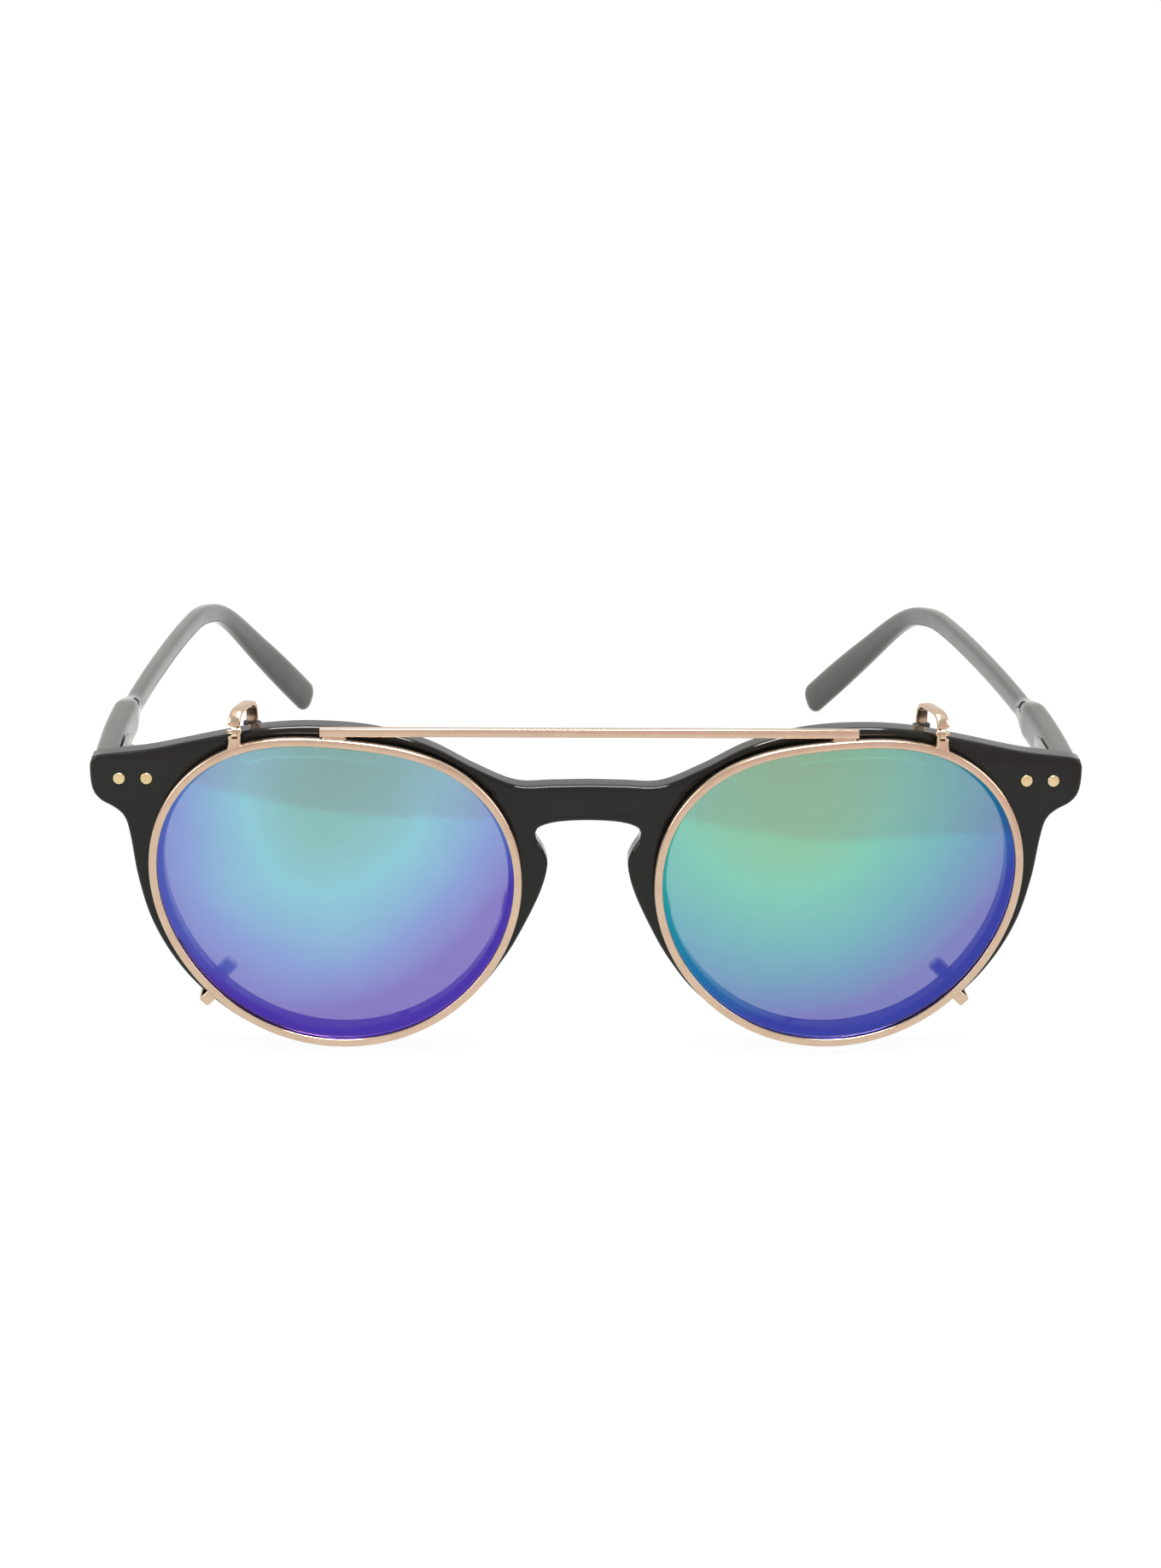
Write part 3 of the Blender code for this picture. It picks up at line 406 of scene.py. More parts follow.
# %% [markdown]
# ## Plated metal
# The clip is wire with a champagne plating. Polished plating is not one tone: it has slightly duller, darker patches
# and fine brushing. The rivets are a yellower brass and the hinges plain steel.

# %% Metals
def make_metal(name, bright, dull, low, high):
    f = Finish(name)
    tint = f.ramp(f.noise(320.0, 4.0), ((0.3, dull), (0.7, bright)))
    rough = f.span(f.noise(1800.0, 3.0), low, high, 0.25, 0.75)
    grain = f.bump(f.noise(5200.0, 2.0), 0.04, 0.00003)
    links = {"Base Color": tint, "Roughness": rough, "Normal": grain}
    return f.done(f.add("BsdfPrincipled", links, Metallic=1.0))


CHAMPAGNE = make_metal("champagne_metal", (0.62, 0.47, 0.34), (0.57, 0.42, 0.30), 0.16, 0.24)
BRASS = make_metal("rivet_brass", (0.74, 0.62, 0.36), (0.66, 0.53, 0.28), 0.25, 0.42)
STEEL = make_metal("hinge_steel", (0.42, 0.41, 0.39), (0.32, 0.31, 0.30), 0.22, 0.36)

# %% [markdown]
# ## Mirror coating
# A mirrored lens reflects one band of colour and lets the rest through, and the band shifts where the coating is
# thinner or seen aslant. One number, worked out from the place on the lens, picks the hue from a ramp that runs from
# green through cyan and blue to violet. A third of the light passes through, so the black front shows behind the
# lens as a deep blue crescent. Only the outer side of the shell is coated: seen from inside, it is clear. Sparse
# stretched noise adds a few fine scratches.

# %% Mirror lenses
def make_mirror(name, middle, terms, stops):
    f = Finish(name)
    place = f.add("Attribute", attribute_name="local_mm").outputs["Vector"]
    shift = f.add("Mapping", {"Vector": place}, Location=(-middle / 20.0, 0.0, 0.0), Scale=(0.05, 0.05, 0.05))
    axes = f.add("SeparateXYZ", {"Vector": shift.outputs[0]}).outputs
    x, z = axes[0], axes[2]

    def product(a, b):
        return f.add("Math", {0: a, 1: b}, operation="MULTIPLY").outputs[0]

    total = None
    for factor, part in zip(terms[1:], (x, z, product(x, x), product(z, z), product(x, z))):
        term = f.add("Math", {0: part}, operation="MULTIPLY_ADD")
        term.inputs[1].default_value = factor
        if total is None:
            term.inputs[2].default_value = terms[0]
        else:
            f.tree.links.new(total, term.inputs[2])
        total = term.outputs[0]
    cloud = f.span(f.noise(45.0, 2.0), -0.035, 0.035, 0.3, 0.7)
    hue = f.ramp(f.add("Math", {0: total, 1: cloud}, operation="ADD").outputs[0], stops)
    scratch = f.noise(420.0, 2.0, (0.25, 1.0, 5.0))
    rough = f.span(scratch, 0.045, 0.16, 0.66, 0.80)
    coat = f.add("BsdfGlossy", {"Color": hue, "Roughness": rough})
    through = f.add("BsdfTransparent", Color=(0.60, 0.57, 0.55, 1.0))
    outside = f.blend(0.7, through, coat)
    inside = f.add("BsdfTransparent", Color=(1.0, 1.0, 1.0, 1.0))
    return f.done(f.blend(f.add("NewGeometry").outputs["Backfacing"], outside, inside))


LEFT_STOPS = (
    (0.0, (0.05, 0.26, 0.12)), (0.25, (0.086, 0.354, 0.185)), (0.5, (0.126, 0.529, 0.658)),
    (0.75, (0.114, 0.242, 0.654)), (1.0, (0.092, 0.049, 0.498)),
)
RIGHT_STOPS = (
    (0.0, (0.165, 0.482, 0.177)), (0.25, (0.077, 0.527, 0.385)), (0.5, (0.022, 0.384, 0.453)),
    (0.75, (0.019, 0.22, 0.484)), (1.0, (0.057, 0.072, 0.468)),
)
MIRRORS = (
    make_mirror("mirror_left", -LENS_X, (0.515, 0.058, -0.352, 0.306, 0.211, -0.127), LEFT_STOPS),
    make_mirror("mirror_right", LENS_X, (0.343, 0.255, -0.473, 0.275, 0.274, -0.019), RIGHT_STOPS),
)

# %% [markdown]
# ## Clear lens, silicone and rubber
# The spectacle lenses are clear and thin, so they are a transparent shader with a gloss that grows at grazing
# angles. The inner wall of the shell gets no gloss, or it would mirror the room at a slant and look black. The sleeves
# of the lower hooks are milky silicone, those of the top hooks black rubber with a dry grain.

# %% Clear and soft finishes
def make_clear():
    f = Finish("clear_lens")
    smear = f.span(f.noise(90.0, 3.0), 0.01, 0.05, 0.35, 0.7)
    gloss = f.add("BsdfGlossy", {"Roughness": smear}, Color=(0.9, 0.9, 0.9, 1.0))
    clear = f.add("BsdfTransparent", Color=(0.97, 0.98, 0.98, 1.0))
    outside = f.blend(f.add("Fresnel", IOR=1.45).outputs[0], clear, gloss)
    return f.done(f.blend(f.add("NewGeometry").outputs["Backfacing"], outside, clear))


def make_silicone():
    f = Finish("clear_silicone")
    milky = f.ramp(f.noise(900.0, 3.0), ((0.3, (0.62, 0.64, 0.66)), (0.7, (0.72, 0.74, 0.76))))
    skin = f.add("BsdfPrincipled", {"Base Color": milky}, Roughness=0.25)
    return f.done(f.blend(0.4, f.add("BsdfTransparent", Color=(0.82, 0.85, 0.88, 1.0)), skin))


def make_rubber():
    f = Finish("black_rubber")
    grain = f.noise(2600.0, 3.0)
    tint = f.ramp(grain, ((0.3, (0.007, 0.007, 0.007)), (0.7, (0.014, 0.014, 0.014))))
    links = {"Base Color": tint, "Normal": f.bump(grain, 0.2, 0.0001)}
    return f.done(f.add("BsdfPrincipled", links, Roughness=0.45))


CLEAR = make_clear()
SILICONE = make_silicone()
RUBBER = make_rubber()

# %% [markdown]
# ## Spectacle front
# A real front is cut from a sheet and its edges are rounded by tumbling. A flat curve does the same: its outline and
# two holes are filled, given thickness and a round bevel, and turned into a mesh. The nose pads are squashed
# spheres, joined on behind.

# %% Front plate with nose pads
def sheet(loops, thickness, bevel):
    data = bpy.data.curves.new("sheet", "CURVE")
    data.dimensions = "2D"
    data.fill_mode = "BOTH"
    data.extrude = thickness / 2.0 - bevel
    data.bevel_depth = bevel
    data.bevel_resolution = 4
    data.offset = -bevel
    for loop in loops:
        spline = data.splines.new("POLY")
        spline.points.add(len(loop) - 1)
        spline.use_cyclic_u = True
        for point, place in zip(spline.points, loop):
            point.co = (place[0], place[1], 0.0, 1.0)
    flat = bpy.data.objects.new("sheet", data)
    bpy.context.scene.collection.objects.link(flat)
    graph = bpy.context.evaluated_depsgraph_get()
    mesh = bpy.data.meshes.new_from_object(flat.evaluated_get(graph))
    bpy.data.objects.remove(flat)
    bm = bmesh.new()
    bm.from_mesh(mesh)
    bpy.data.meshes.remove(mesh)
    bmesh.ops.remove_doubles(bm, verts=bm.verts[:], dist=0.0005)
    upright = Matrix(((1, 0, 0, 0), (0, 0, 1, thickness / 2.0), (0, 1, 0, 0), (0, 0, 0, 1)))
    bmesh.ops.transform(bm, matrix=upright, verts=bm.verts[:])
    bmesh.ops.recalc_face_normals(bm, faces=bm.faces[:])
    return bm


def nose_pad(side):
    bm = bmesh.new()
    bmesh.ops.create_uvsphere(bm, u_segments=48, v_segments=32, radius=1.0)
    bmesh.ops.scale(bm, vec=(2.0, 4.6, 6.2), verts=bm.verts[:])
    tilt = Matrix.Rotation(math.radians(-17.0 * side), 4, "Y")
    spot = Matrix.Translation((side * 9.6, FRONT_THICKNESS - 0.9, -2.0))
    bmesh.ops.transform(bm, matrix=spot @ tilt, verts=bm.verts[:])
    plane = bm.verts[:] + bm.edges[:] + bm.faces[:]
    bmesh.ops.bisect_plane(bm, geom=plane, plane_co=(0.0, 1.2, 0.0), plane_no=(0.0, -1.0, 0.0), clear_outer=True)
    bmesh.ops.holes_fill(bm, edges=bm.edges[:])
    bmesh.ops.recalc_face_normals(bm, faces=bm.faces[:])
    return bm


right_hole = [(p.x, p.z) for p in reversed(outline(OPENING_INSET))]
left_hole = [(-p.x, p.z) for p in outline(OPENING_INSET)]
outer = [(p.x, p.y) for p in reversed(front_outline())]
plate = sheet((outer, right_hole, left_hole), FRONT_THICKNESS, 0.65)
front = cut_or_join(plate, [nose_pad(-1.0), nose_pad(1.0)], "UNION")
front_piece = finish_piece(
    "frame_front_piece", front, ACETATE, "frame", "frame_front", True, 60.0
)
even = front_piece.modifiers.new("even_normals", "WEIGHTED_NORMAL")
even.keep_sharp = True
print("front:", len(front_piece.data.polygons), "faces")

# %% [markdown]
# ## Lenses
# Each lens is a thin shell that bulges gently forwards, with its edge lying flat in its groove. It grows from the
# middle of the back, round the edge, to the middle of the front, and the two last faces are poked to a centre point.

# %% Lens shells
def lens(inset, thickness, bulge, middle_y):
    chamfer = thickness * 0.2
    half = thickness / 2.0

    def ring(ratio, depth, pull):
        y = middle_y + depth - bulge * (1.0 - ratio * ratio)
        return [Vector((LENS_X + (p.x - LENS_X) * ratio, y, p.z * ratio)) for p in outline(inset + pull)]

    steps = [k / 12.0 for k in range(1, 13)]
    rings = [ring(ratio, half, chamfer) for ratio in steps]
    rings += [ring(1.0, half - chamfer, 0.0), ring(1.0, -half + chamfer, 0.0)]
    rings += [ring(ratio, -half, chamfer) for ratio in reversed(steps)]
    crown = (0.0, -bulge / 144.0, 0.0)
    return grow(rings, domes=(crown, crown))


finish_pair(
    "clear_lens", lens(OPENING_INSET - 0.55, 1.3, 0.9, FRONT_THICKNESS / 2.0), (CLEAR, CLEAR), FRAME, True,
)
finish_pair("mirror_lens", lens(RIM_WIDTH - 0.34, 0.8, 1.0, RIM_Y), MIRRORS, FLIP, True)

# %% [markdown]
# ## Clip rims
# The rims are drawn wire: a rounded section with a groove on the inside for the lens. The section is carried once
# round the outline and closed on itself.

# %% Grooved wire rims
def quarter(cx, cy, radius, start, steps=4):
    angles = [math.radians(start + 90.0 * k / steps) for k in range(steps + 1)]
    return [(cx + radius * math.cos(a), cy + radius * math.sin(a)) for a in angles]


def rim_section():
    half = RIM_DEPTH / 2.0
    points = quarter(0.34, half - 0.34, 0.34, 90.0) + quarter(0.34, -half + 0.34, 0.34, 180.0)
    points += quarter(RIM_WIDTH - 0.16, -half + 0.16, 0.16, 270.0)
    points += [(RIM_WIDTH, -0.46), (RIM_WIDTH - 0.05, -0.41), (RIM_WIDTH - 0.4, -0.41)]
    points += [(RIM_WIDTH - 0.4, 0.41), (RIM_WIDTH - 0.05, 0.41), (RIM_WIDTH, 0.46)]
    return points + quarter(RIM_WIDTH - 0.16, half - 0.16, 0.16, 0.0)


rings = []
for i in range(OUTLINE_STEPS):
    at = [(outline_point(2.0 * math.pi * i / OUTLINE_STEPS, inset)[0], y) for inset, y in rim_section()]
    rings.append([Vector((p.x, RIM_Y + y, p.z)) for p, y in at])
finish_pair("clip_rim", grow(rings, closed=True), (CHAMPAGNE, CHAMPAGNE), FLIP, True, 50.0)

# %% [markdown]
# ## Brow bar
# A straight square bar joins the rims. It is soldered on, and solder leaves a smooth waist between bar and rim,
# wide at both and narrow in the middle.

# %% Bar and solder
bar_y = RIM_Y + face_form(LENS_X)


def solder(side):
    rows = []
    for k in range(9):
        t = k / 8.0
        flare = (2.0 * t - 1.0) ** 2
        section = rounded_section(1.55 + 0.35 * flare, 0.4 + 0.14 * flare, 3.4)
        rows.append(((side * (BAR_HALF - 2.0), bar_y, 22.05 + (BAR_Z - 22.05) * t), (1, 0, 0), (0, 1, 0), section))
    return sweep(rows)


shaft = block((-BAR_HALF, bar_y - 0.6, BAR_Z - 0.6), (BAR_HALF, bar_y + 0.6, BAR_Z + 0.6), 0.14)
bar = join(shaft, solder(-1.0), solder(1.0))
finish_piece("brow_bar_piece", bar, CHAMPAGNE, "flip_lenses", "brow_bar", False, 50.0)

# %% [markdown]
# ## Top hooks
# A flat band rises from the flip knuckle, arches over the top of the front and comes down behind it, where a black
# rubber sleeve keeps it from scratching. The band's section turns with its path.

# %% Band and sleeve tools
def along_path(path, side_axis):
    frames = []
    for i, point in enumerate(path):
        along = (path[min(i + 1, len(path) - 1)] - path[max(i - 1, 0)]).normalized()
        frames.append((point, along, along.cross(side_axis).normalized()))
    return frames


def scaled(section, amount):
    return [(a * amount, b * amount) for a, b in section]


def band(path, side_axis, width, thickness):
    frames = along_path(path, side_axis)
    full = rounded_section(width / 2.0, thickness / 2.0, 3.6)
    ends = ((0.14, 0.55), (0.12, 0.75), (0.07, 0.92))
    first, along, across = frames[0]
    rows = [(first - along * d, side_axis, across, scaled(full, s)) for d, s in ends]
    rows += [(point, side_axis, cross, full) for point, _, cross in frames]
    last, along, across = frames[-1]
    rows += [(last + along * d, side_axis, across, scaled(full, s)) for d, s in reversed(ends)]
    return sweep(rows)


def sleeve(path, side_axis, width, thickness, wall):
    frames = along_path(path, side_axis)
    outer = rounded_section(width / 2.0 + wall, thickness / 2.0 + wall, 2.8)
    inner = rounded_section(width / 2.0 + 0.04, thickness / 2.0 + 0.04, 3.6)
    last, along, across = frames[-1]
    tip = ((0.64, 0.35), (0.62, 0.6), (0.54, 0.8), (0.4, 0.93), (0.2, 1.0))
    rows = [(last + along * d, side_axis, across, scaled(outer, s)) for d, s in tip]
    rows += [(point, side_axis, cross, outer) for point, _, cross in reversed(frames)]
    rows.append((frames[0][0] - frames[0][1] * 0.08, side_axis, frames[0][2], scaled(outer, 0.92)))
    rows += [(point, side_axis, cross, inner) for point, _, cross in frames]
    rows.append((last + along * 0.16, side_axis, across, inner))
    return sweep(rows)


# %% Arch, knuckle, sleeve and pin
hook_y = RIM_Y + face_form(HOOK_X)
hook_back = Vector((-math.sin(HOOK_TURN), math.cos(HOOK_TURN), 0.0))
hook_side = Vector((math.cos(HOOK_TURN), math.sin(HOOK_TURN), 0.0))
REACH = 7.1


def hook_place(reach, rise):
    return Vector((HOOK_X, hook_y, FLIP_Z + rise)) + hook_back * reach


hook_path = curve_through(
    (
        hook_place(-0.1, 0.98), hook_place(0.0, 1.4), hook_place(0.55, 2.1), hook_place(1.7, 2.6),
        hook_place(REACH - 1.6, 2.6), hook_place(REACH - 0.45, 2.05), hook_place(REACH, 0.8),
        hook_place(REACH, -0.8), hook_place(REACH, -3.4),
    ),
    0.22,
)
knuckle = pin((HOOK_X - 0.4, hook_y, FLIP_Z), (HOOK_X + 0.4, hook_y, FLIP_Z), 0.8)
neck = block((HOOK_X - 0.4, hook_y - 0.4, FLIP_Z), (HOOK_X + 0.4, hook_y + 0.4, FLIP_Z + 1.2), 0.05)
arch = join(band(hook_path, hook_side, 1.7, 0.7), knuckle, neck)
finish_pair("top_hook", arch, (CHAMPAGNE, CHAMPAGNE), CLIP, False, 50.0)
leg = [p for p in hook_path[len(hook_path) // 2 :] if p.z < FLIP_Z - 0.3]
finish_pair("top_hook_sleeve", sleeve(leg, hook_side, 1.7, 0.7, 0.42), (RUBBER, RUBBER), CLIP)
flip_pin = pin((HOOK_X - 0.98, hook_y, FLIP_Z), (HOOK_X + 0.98, hook_y, FLIP_Z), 0.3, 0.08, 32)
finish_pair("flip_pin", flip_pin, (CHAMPAGNE, CHAMPAGNE), CLIP)

# %% [markdown]
# ## Hook posts
# The post stands on the rim and carries the flip joint between two cheeks. It is soldered on with a flared foot,
# and is cut away inside the rim so that the foot ends on the wire.

# %% Posts on the rims
def post():
    rows = []
    for z, width, depth in (
        (19.9, 1.25, 0.80), (20.5, 1.12, 0.78), (20.9, 1.0, 0.76),
        (21.3, 0.92, 0.75), (21.7, 0.88, 0.75), (22.2, 0.88, 0.75),
    ):
        rows.append(((HOOK_X, hook_y, z), (1, 0, 0), (0, 1, 0), rounded_section(width, depth, 3.6)))
    shells = [sweep(rows)]
    for side in (-1.0, 1.0):
        near, far = HOOK_X + side * 0.43, HOOK_X + side * 0.88
        shells.append(pin((near, hook_y, FLIP_Z), (far, hook_y, FLIP_Z), 0.78))
        low = (min(near, far), hook_y - 0.7, 22.0)
        shells.append(block(low, (max(near, far), hook_y + 0.7, FLIP_Z), 0.06))
    return join(*shells)


rim_space = lens(-0.02, RIM_DEPTH + 0.04, 0.0, RIM_Y)
for vert in rim_space.verts:
    vert.co.y += face_form(vert.co.x)
finish_pair(
    "hook_post", cut_or_join(post(), [rim_space], "DIFFERENCE"), (CHAMPAGNE, CHAMPAGNE), FLIP, False, 50.0,
)

# %% [markdown]
# ## Bottom hooks
# A narrower band leaves each rim low on its outer side, wraps round the edge of the front and grips it from behind.
# Its tip wears a milky sleeve, which shows through the mirrored lens as a small blue tab.

# %% Lower bands and sleeves
low_start, low_normal = outline_point(math.radians(-42.0), 0.0)
low_side = Vector((0.0, 1.0, 0.0)).cross(low_normal).normalized()
OUT = 1.8
REAR = FRONT_THICKNESS + 1.02


def low_place(outward, y):
    return Vector((low_start.x, face_form(low_start.x) + y, low_start.z)) + low_normal * outward


low_path = curve_through(
    (
        low_place(-0.5, RIM_Y), low_place(OUT - 0.7, RIM_Y), low_place(OUT - 0.12, RIM_Y + 0.35),
        low_place(OUT, RIM_Y + 1.1), low_place(OUT, FRONT_THICKNESS / 2.0), low_place(OUT, REAR - 0.9),
        low_place(OUT - 0.3, REAR - 0.25), low_place(OUT - 1.1, REAR), low_place(-1.2, REAR), low_place(-3.0, REAR),
    ),
    0.2,
)
finish_pair(
    "bottom_hook", band(low_path, low_side, 1.6, 0.6), (CHAMPAGNE, CHAMPAGNE), FLIP, False, 50.0,
)
tail = [p for p in low_path[len(low_path) // 2 :] if (p - low_place(0.0, REAR)).dot(low_normal) < 0.8]
finish_pair(
    "bottom_hook_sleeve", sleeve(tail, low_side, 1.6, 0.6, 0.34), (SILICONE, SILICONE), FLIP,
)

# %% [markdown]
# ## Rivets
# Two brass rivets pin each hinge plate through the front. The head is a low dome, grown in rings from its rounded
# rim, on a thin shank.

# %% Rivet heads and shanks
for side, word in ((-1.0, "left"), (1.0, "right")):
    for x, which in ((61.8, "inner"), (65.6, "outer")):
        turns = [math.radians(9.0 * k) for k in range(1, 10)]
        head = [(-0.20 - 0.05 * math.cos(a), 0.74 * math.sin(a)) for a in turns]
        head += [(-0.18, 0.79), (-0.13, 0.82), (0.0, 0.82), (0.0, 0.42), (FRONT_THICKNESS - 0.05, 0.42)]
        rows = []
        for depth, radius in head:
            middle = (side * x, face_form(x) + depth - 0.03, END_Z)
            rows.append((middle, (1, 0, 0), (0, 0, 1), rounded_section(radius, radius, 2.0, 40)))
        finish_piece(
            f"{word}_{which}_rivet_piece", sweep(rows), BRASS, "frame", f"{word}_{which}_rivet", False, 60.0
        )

# %% [markdown]
# ## Hinges
# A three-barrel hinge sits behind each end piece: one barrel on the front's plate, two on the temple's leaf, and a
# slotted screw through all three.

# %% Leaves and screws
hinge_back = face_form(HINGE_X) + FRONT_THICKNESS
hinge_y = hinge_back + 1.9


def barrel(low, high):
    return pin((HINGE_X, hinge_y, HINGE_Z + low), (HINGE_X, hinge_y, HINGE_Z + high), 1.1, 0.12)


front_leaf = join(
    block((60.5, hinge_back + 0.06, HINGE_Z - 2.2), (65.6, hinge_back + 0.65, HINGE_Z + 2.2), 0.12),
    block((63.85, hinge_back + 0.3, HINGE_Z - 0.8), (65.35, hinge_y, HINGE_Z + 0.8)),
    barrel(-0.8, 0.8),
)
finish_pair("hinge_front_leaf", front_leaf, (STEEL, STEEL), FRAME)
temple_leaf = join(
    block((65.15, hinge_y + 0.9, HINGE_Z - 2.33), (65.84, hinge_y + 8.5, HINGE_Z + 2.33), 0.12),
    block((65.15, hinge_y + 0.17, HINGE_Z - 2.3), (65.7, hinge_y + 1.5, HINGE_Z - 0.95)),
    block((65.15, hinge_y + 0.17, HINGE_Z + 0.95), (65.7, hinge_y + 1.5, HINGE_Z + 2.3)),
    barrel(-2.48, -0.88),
    barrel(0.88, 2.48),
)
finish_pair("hinge_temple_leaf", temple_leaf, (STEEL, STEEL), TEMPLES)
screw = join(
    pin((HINGE_X, hinge_y, HINGE_Z - 2.4), (HINGE_X, hinge_y, HINGE_Z + 2.8), 0.5),
    pin((HINGE_X, hinge_y, HINGE_Z + 2.54), (HINGE_X, hinge_y, HINGE_Z + 2.93), 0.85, 0.1),
)
slot = block((HINGE_X - 0.1, hinge_y - 1.5, HINGE_Z + 2.78), (HINGE_X + 0.1, hinge_y + 1.5, HINGE_Z + 3.4), 0.02)
finish_pair("hinge_screw", cut_or_join(screw, [slot], "DIFFERENCE"), (STEEL, STEEL), FRAME)

# %% [markdown]
# ## Temples
# A temple is a bar that starts square at the hinge and steps down to a slimmer, rounder section. It bends down and
# in behind the ear, and widens to a flat paddle with a round end. A small notch marks the step on the inner side.

# %% Temple bars
def soft_step(t, start, width):
    t = min(max((t - start) / width, 0.0), 1.0)
    return t * t * (3.0 - 2.0 * t)


def temple():
    start_y = hinge_back + 0.3
    x = HINGE_X + 3.1
    z = HINGE_Z
    down = 24.98
    path = curve_through(
        (
            (x, start_y, z + 0.2), (x, start_y + 13.0, z + 0.5), (x - 0.7, start_y + 26.0, z + 0.9),
            (x - 2.6, start_y + 48.0, z + 1.3), (x - 5.2, start_y + 72.0, z + 1.2), (x - 7.2, start_y + 86.0, z + 0.2),
            (x - 9.8, start_y + 98.1, z - 0.142 * down), (x - 14.6, start_y + 111.5, z - 0.519 * down),
            (x - 21.5, start_y + 125.4, z - down),
        ),
        0.7,
    )
    lengths = [0.0]
    for a, b in zip(path, path[1:]):
        lengths.append(lengths[-1] + (b - a).length)
    rows = []
    for i, point in enumerate(path):
        along = (path[min(i + 1, len(path) - 1)] - path[max(i - 1, 0)]).normalized()
        u = along.cross(Vector((0.0, 0.0, 1.0))).normalized()
        v = u.cross(along).normalized()
        t = lengths[i] / lengths[-1]
        slim = soft_step(t, 0.16, 0.06)
        paddle = soft_step(t, 0.68, 0.28)
        half_u = 1.8 - 0.6 * slim
        half_v = (5.4 - 2.2 * slim + 2.1 * paddle) / 2.0
        roundness = 4.0 - 0.9 * slim - 0.6 * paddle
        if i == 0:
            for d, s in ((0.0, 0.35), (0.06, 0.2), (0.2, 0.07), (0.38, 0.0)):
                rows.append((point + along * d, u, v, rounded_section(half_u - s, half_v - s, roundness, 48)))
            continue
        rows.append((point, u, v, rounded_section(half_u, half_v, roundness, 48)))
        if i == len(path) - 1:
            for k in range(1, 10):
                a = math.radians(9.6 * k)
                section = rounded_section(half_u * math.cos(a), half_v * math.cos(a), 2.4, 48)
                rows.append((point + along * (2.45 * math.sin(a)), u, v, section))
    notch = block((x - 2.4, start_y + 24.6, z + 1.6), (x - 1.35, start_y + 26.2, z + 4.2), 0.15)
    return cut_or_join(sweep(rows), [notch], "DIFFERENCE")


# The temples wear the paler copy of the acetate, whose lighter base colour is painted light.
finish_pair("temple", temple(), (TEMPLE_ACETATE_PAINTED_LIGHT, TEMPLE_ACETATE_PAINTED_LIGHT), TEMPLES, False, 35.0)

# %% [markdown]
# ## Studio
# The product stands on a white sweep that glows like a light table, which keeps shadows faint. The sweep ends well in
# front of the glasses, on a slant, and is warmer beyond: that edge draws a soft curved line high in the lenses. The
# camera itself sees plain white all over.

# %% Floor, lights and world
floor_mesh = bmesh.new()
bmesh.ops.create_grid(floor_mesh, x_segments=1, y_segments=1, size=4.0)
floor = new_object("floor", floor_mesh)
paper = Finish("floor_paper")
across = paper.add("SeparateXYZ", {"Vector": paper.add("TexCoord").outputs["Object"]}).outputs
slant = paper.add("Math", {0: across[0], 2: across[1]}, operation="MULTIPLY_ADD")
slant.inputs[1].default_value = -0.8
edge = paper.span(slant.outputs[0], 1.0, 0.0, -0.325, -0.34)
seen_directly = paper.add("LightPath").outputs["Is Camera Ray"]
shown = paper.add("Math", {0: edge, 1: seen_directly}, operation="MAXIMUM").outputs[0]
tone = paper.ramp(shown, ((0.0, (0.95, 0.74, 0.78)), (1.0, (1.0, 1.0, 1.0))))
matte = paper.add("BsdfPrincipled", {"Base Color": tone}, Roughness=0.9)
floor.data.materials.append(paper.done(paper.blend(0.05, paper.add("Emission", {"Color": tone}), matte)))


def softbox(name, place, size, power):
    data = bpy.data.lights.new(name, "AREA")
    data.shape = "RECTANGLE"
    data.size, data.size_y = size
    data.energy = power
    light = bpy.data.objects.new(name, data)
    bpy.context.scene.collection.objects.link(light)
    aim = Vector((0.0, 0.0, 0.02)) - Vector(place)
    light.matrix_world = Matrix.Translation(place) @ aim.to_track_quat("-Z", "Y").to_matrix().to_4x4()


softbox("top_softbox", (0.0, -0.1, 0.9), (0.5, 0.4), 20.0)
softbox("left_softbox", (-0.9, -0.35, 0.5), (0.25, 0.5), 3.0)
softbox("right_softbox", (0.9, -0.25, 0.5), (0.25, 0.5), 2.5)

world = bpy.data.worlds.new("studio")
bpy.context.scene.world = world
world.use_nodes = True
tree = world.node_tree
tree.nodes.clear()


def world_node(kind, **values):
    node = tree.nodes.new("ShaderNode" + kind)
    for key, value in values.items():
        setattr(node, key, value)
    return node


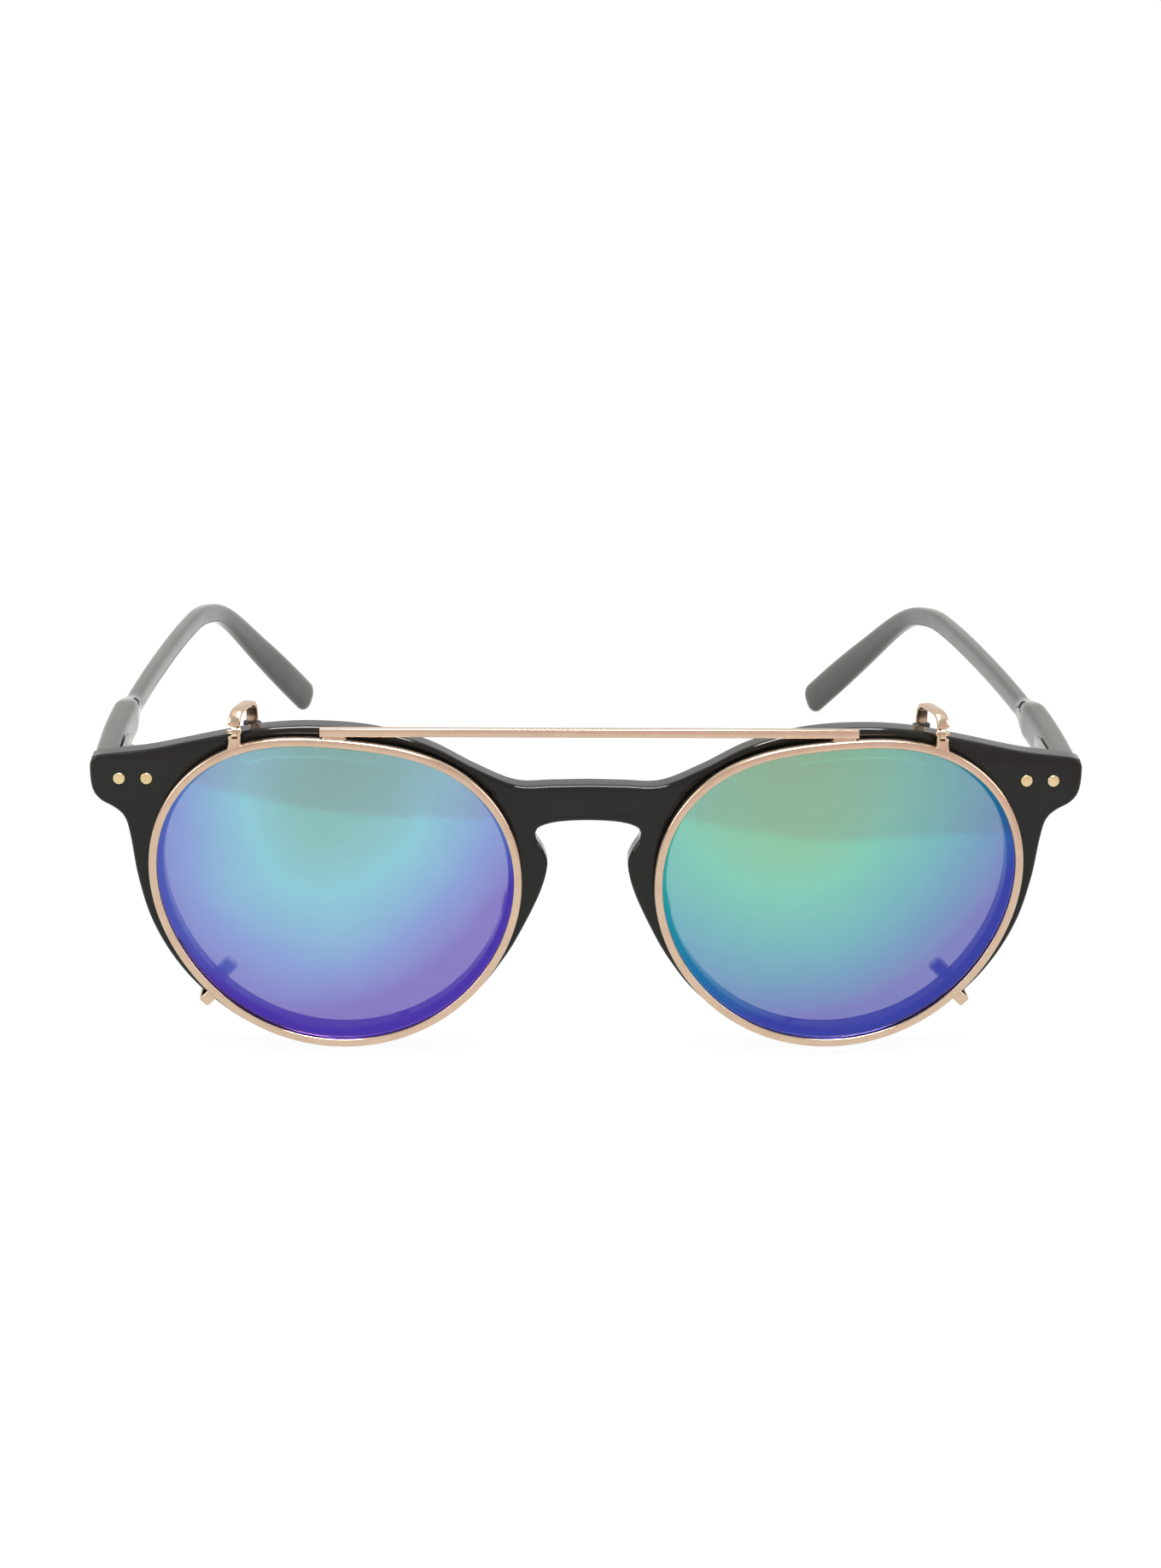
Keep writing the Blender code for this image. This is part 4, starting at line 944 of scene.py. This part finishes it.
split = world_node("SeparateXYZ")
tree.links.new(world_node("TexCoord").outputs["Generated"], split.inputs[0])
tones = world_node("ValToRGB")
tree.links.new(split.outputs[2], tones.inputs["Fac"])
for _ in range(2):
    tones.color_ramp.elements.new(0.5)
HORIZON = (
    (0.062, (1.0, 1.0, 1.0)), (0.076, (0.95, 0.76, 0.78)), (0.45, (0.80, 0.76, 0.74)), (0.85, (0.55, 0.55, 0.55)),
)
for element, (place, colour) in zip(tones.color_ramp.elements, HORIZON):
    element.position = place
    element.color = (*colour, 1.0)
front_side = world_node("MapRange")
front_side.inputs["From Min"].default_value = 0.05
front_side.inputs["From Max"].default_value = -0.35
tree.links.new(split.outputs[1], front_side.inputs["Value"])
surround = world_node("Mix", data_type="RGBA")
surround.inputs[6].default_value = (1.0, 1.0, 1.0, 1.0)
tree.links.new(front_side.outputs[0], surround.inputs["Factor"])
tree.links.new(tones.outputs["Color"], surround.inputs[7])
seen = world_node("Mix", data_type="RGBA")
seen.inputs[7].default_value = (1.0, 1.0, 1.0, 1.0)
tree.links.new(world_node("LightPath").outputs["Is Camera Ray"], seen.inputs["Factor"])
tree.links.new(surround.outputs[2], seen.inputs[6])
glow = world_node("Background")
tree.links.new(seen.outputs[2], glow.inputs["Color"])
tree.links.new(glow.outputs[0], world_node("OutputWorld").inputs["Surface"])
bpy.context.scene.view_settings.view_transform = "Standard"

# %% [markdown]
# ## Camera
# A short telephoto view, a little above the glasses and slightly to their left, turned by under a degree. Its
# direction is set in the front's plane and then leaned with the glasses.

# %% Camera
camera_data = bpy.data.cameras.new("camera")
camera_data.lens = 73.9
camera_data.clip_start = 0.01
camera = bpy.data.objects.new("camera", camera_data)
bpy.context.scene.collection.objects.link(camera)
bpy.context.scene.camera = camera
ABOVE = math.radians(17.5)
ASIDE = math.radians(2.24)
TILT = math.radians(0.83)
look = Vector((math.sin(ASIDE) * math.cos(ABOVE), math.cos(ASIDE) * math.cos(ABOVE), -math.sin(ABOVE)))
right = Vector((math.cos(ASIDE), -math.sin(ASIDE), 0.0))
up = right.cross(look)
axes = Matrix((right * math.cos(TILT) + up * math.sin(TILT), up * math.cos(TILT) - right * math.sin(TILT), -look))
place = to_world @ (Vector((-1.2, 0.0, 15.42)) - look * 450.0)
facing = Matrix.Rotation(-LEAN, 3, "X") @ axes.transposed()
camera.matrix_world = Matrix.Translation(place) @ facing.to_4x4()
print("camera at", tuple(round(v, 3) for v in place))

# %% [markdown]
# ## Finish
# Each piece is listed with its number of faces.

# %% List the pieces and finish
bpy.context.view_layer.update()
for obj in made:
    print(obj.name, len(obj.data.polygons), "faces")
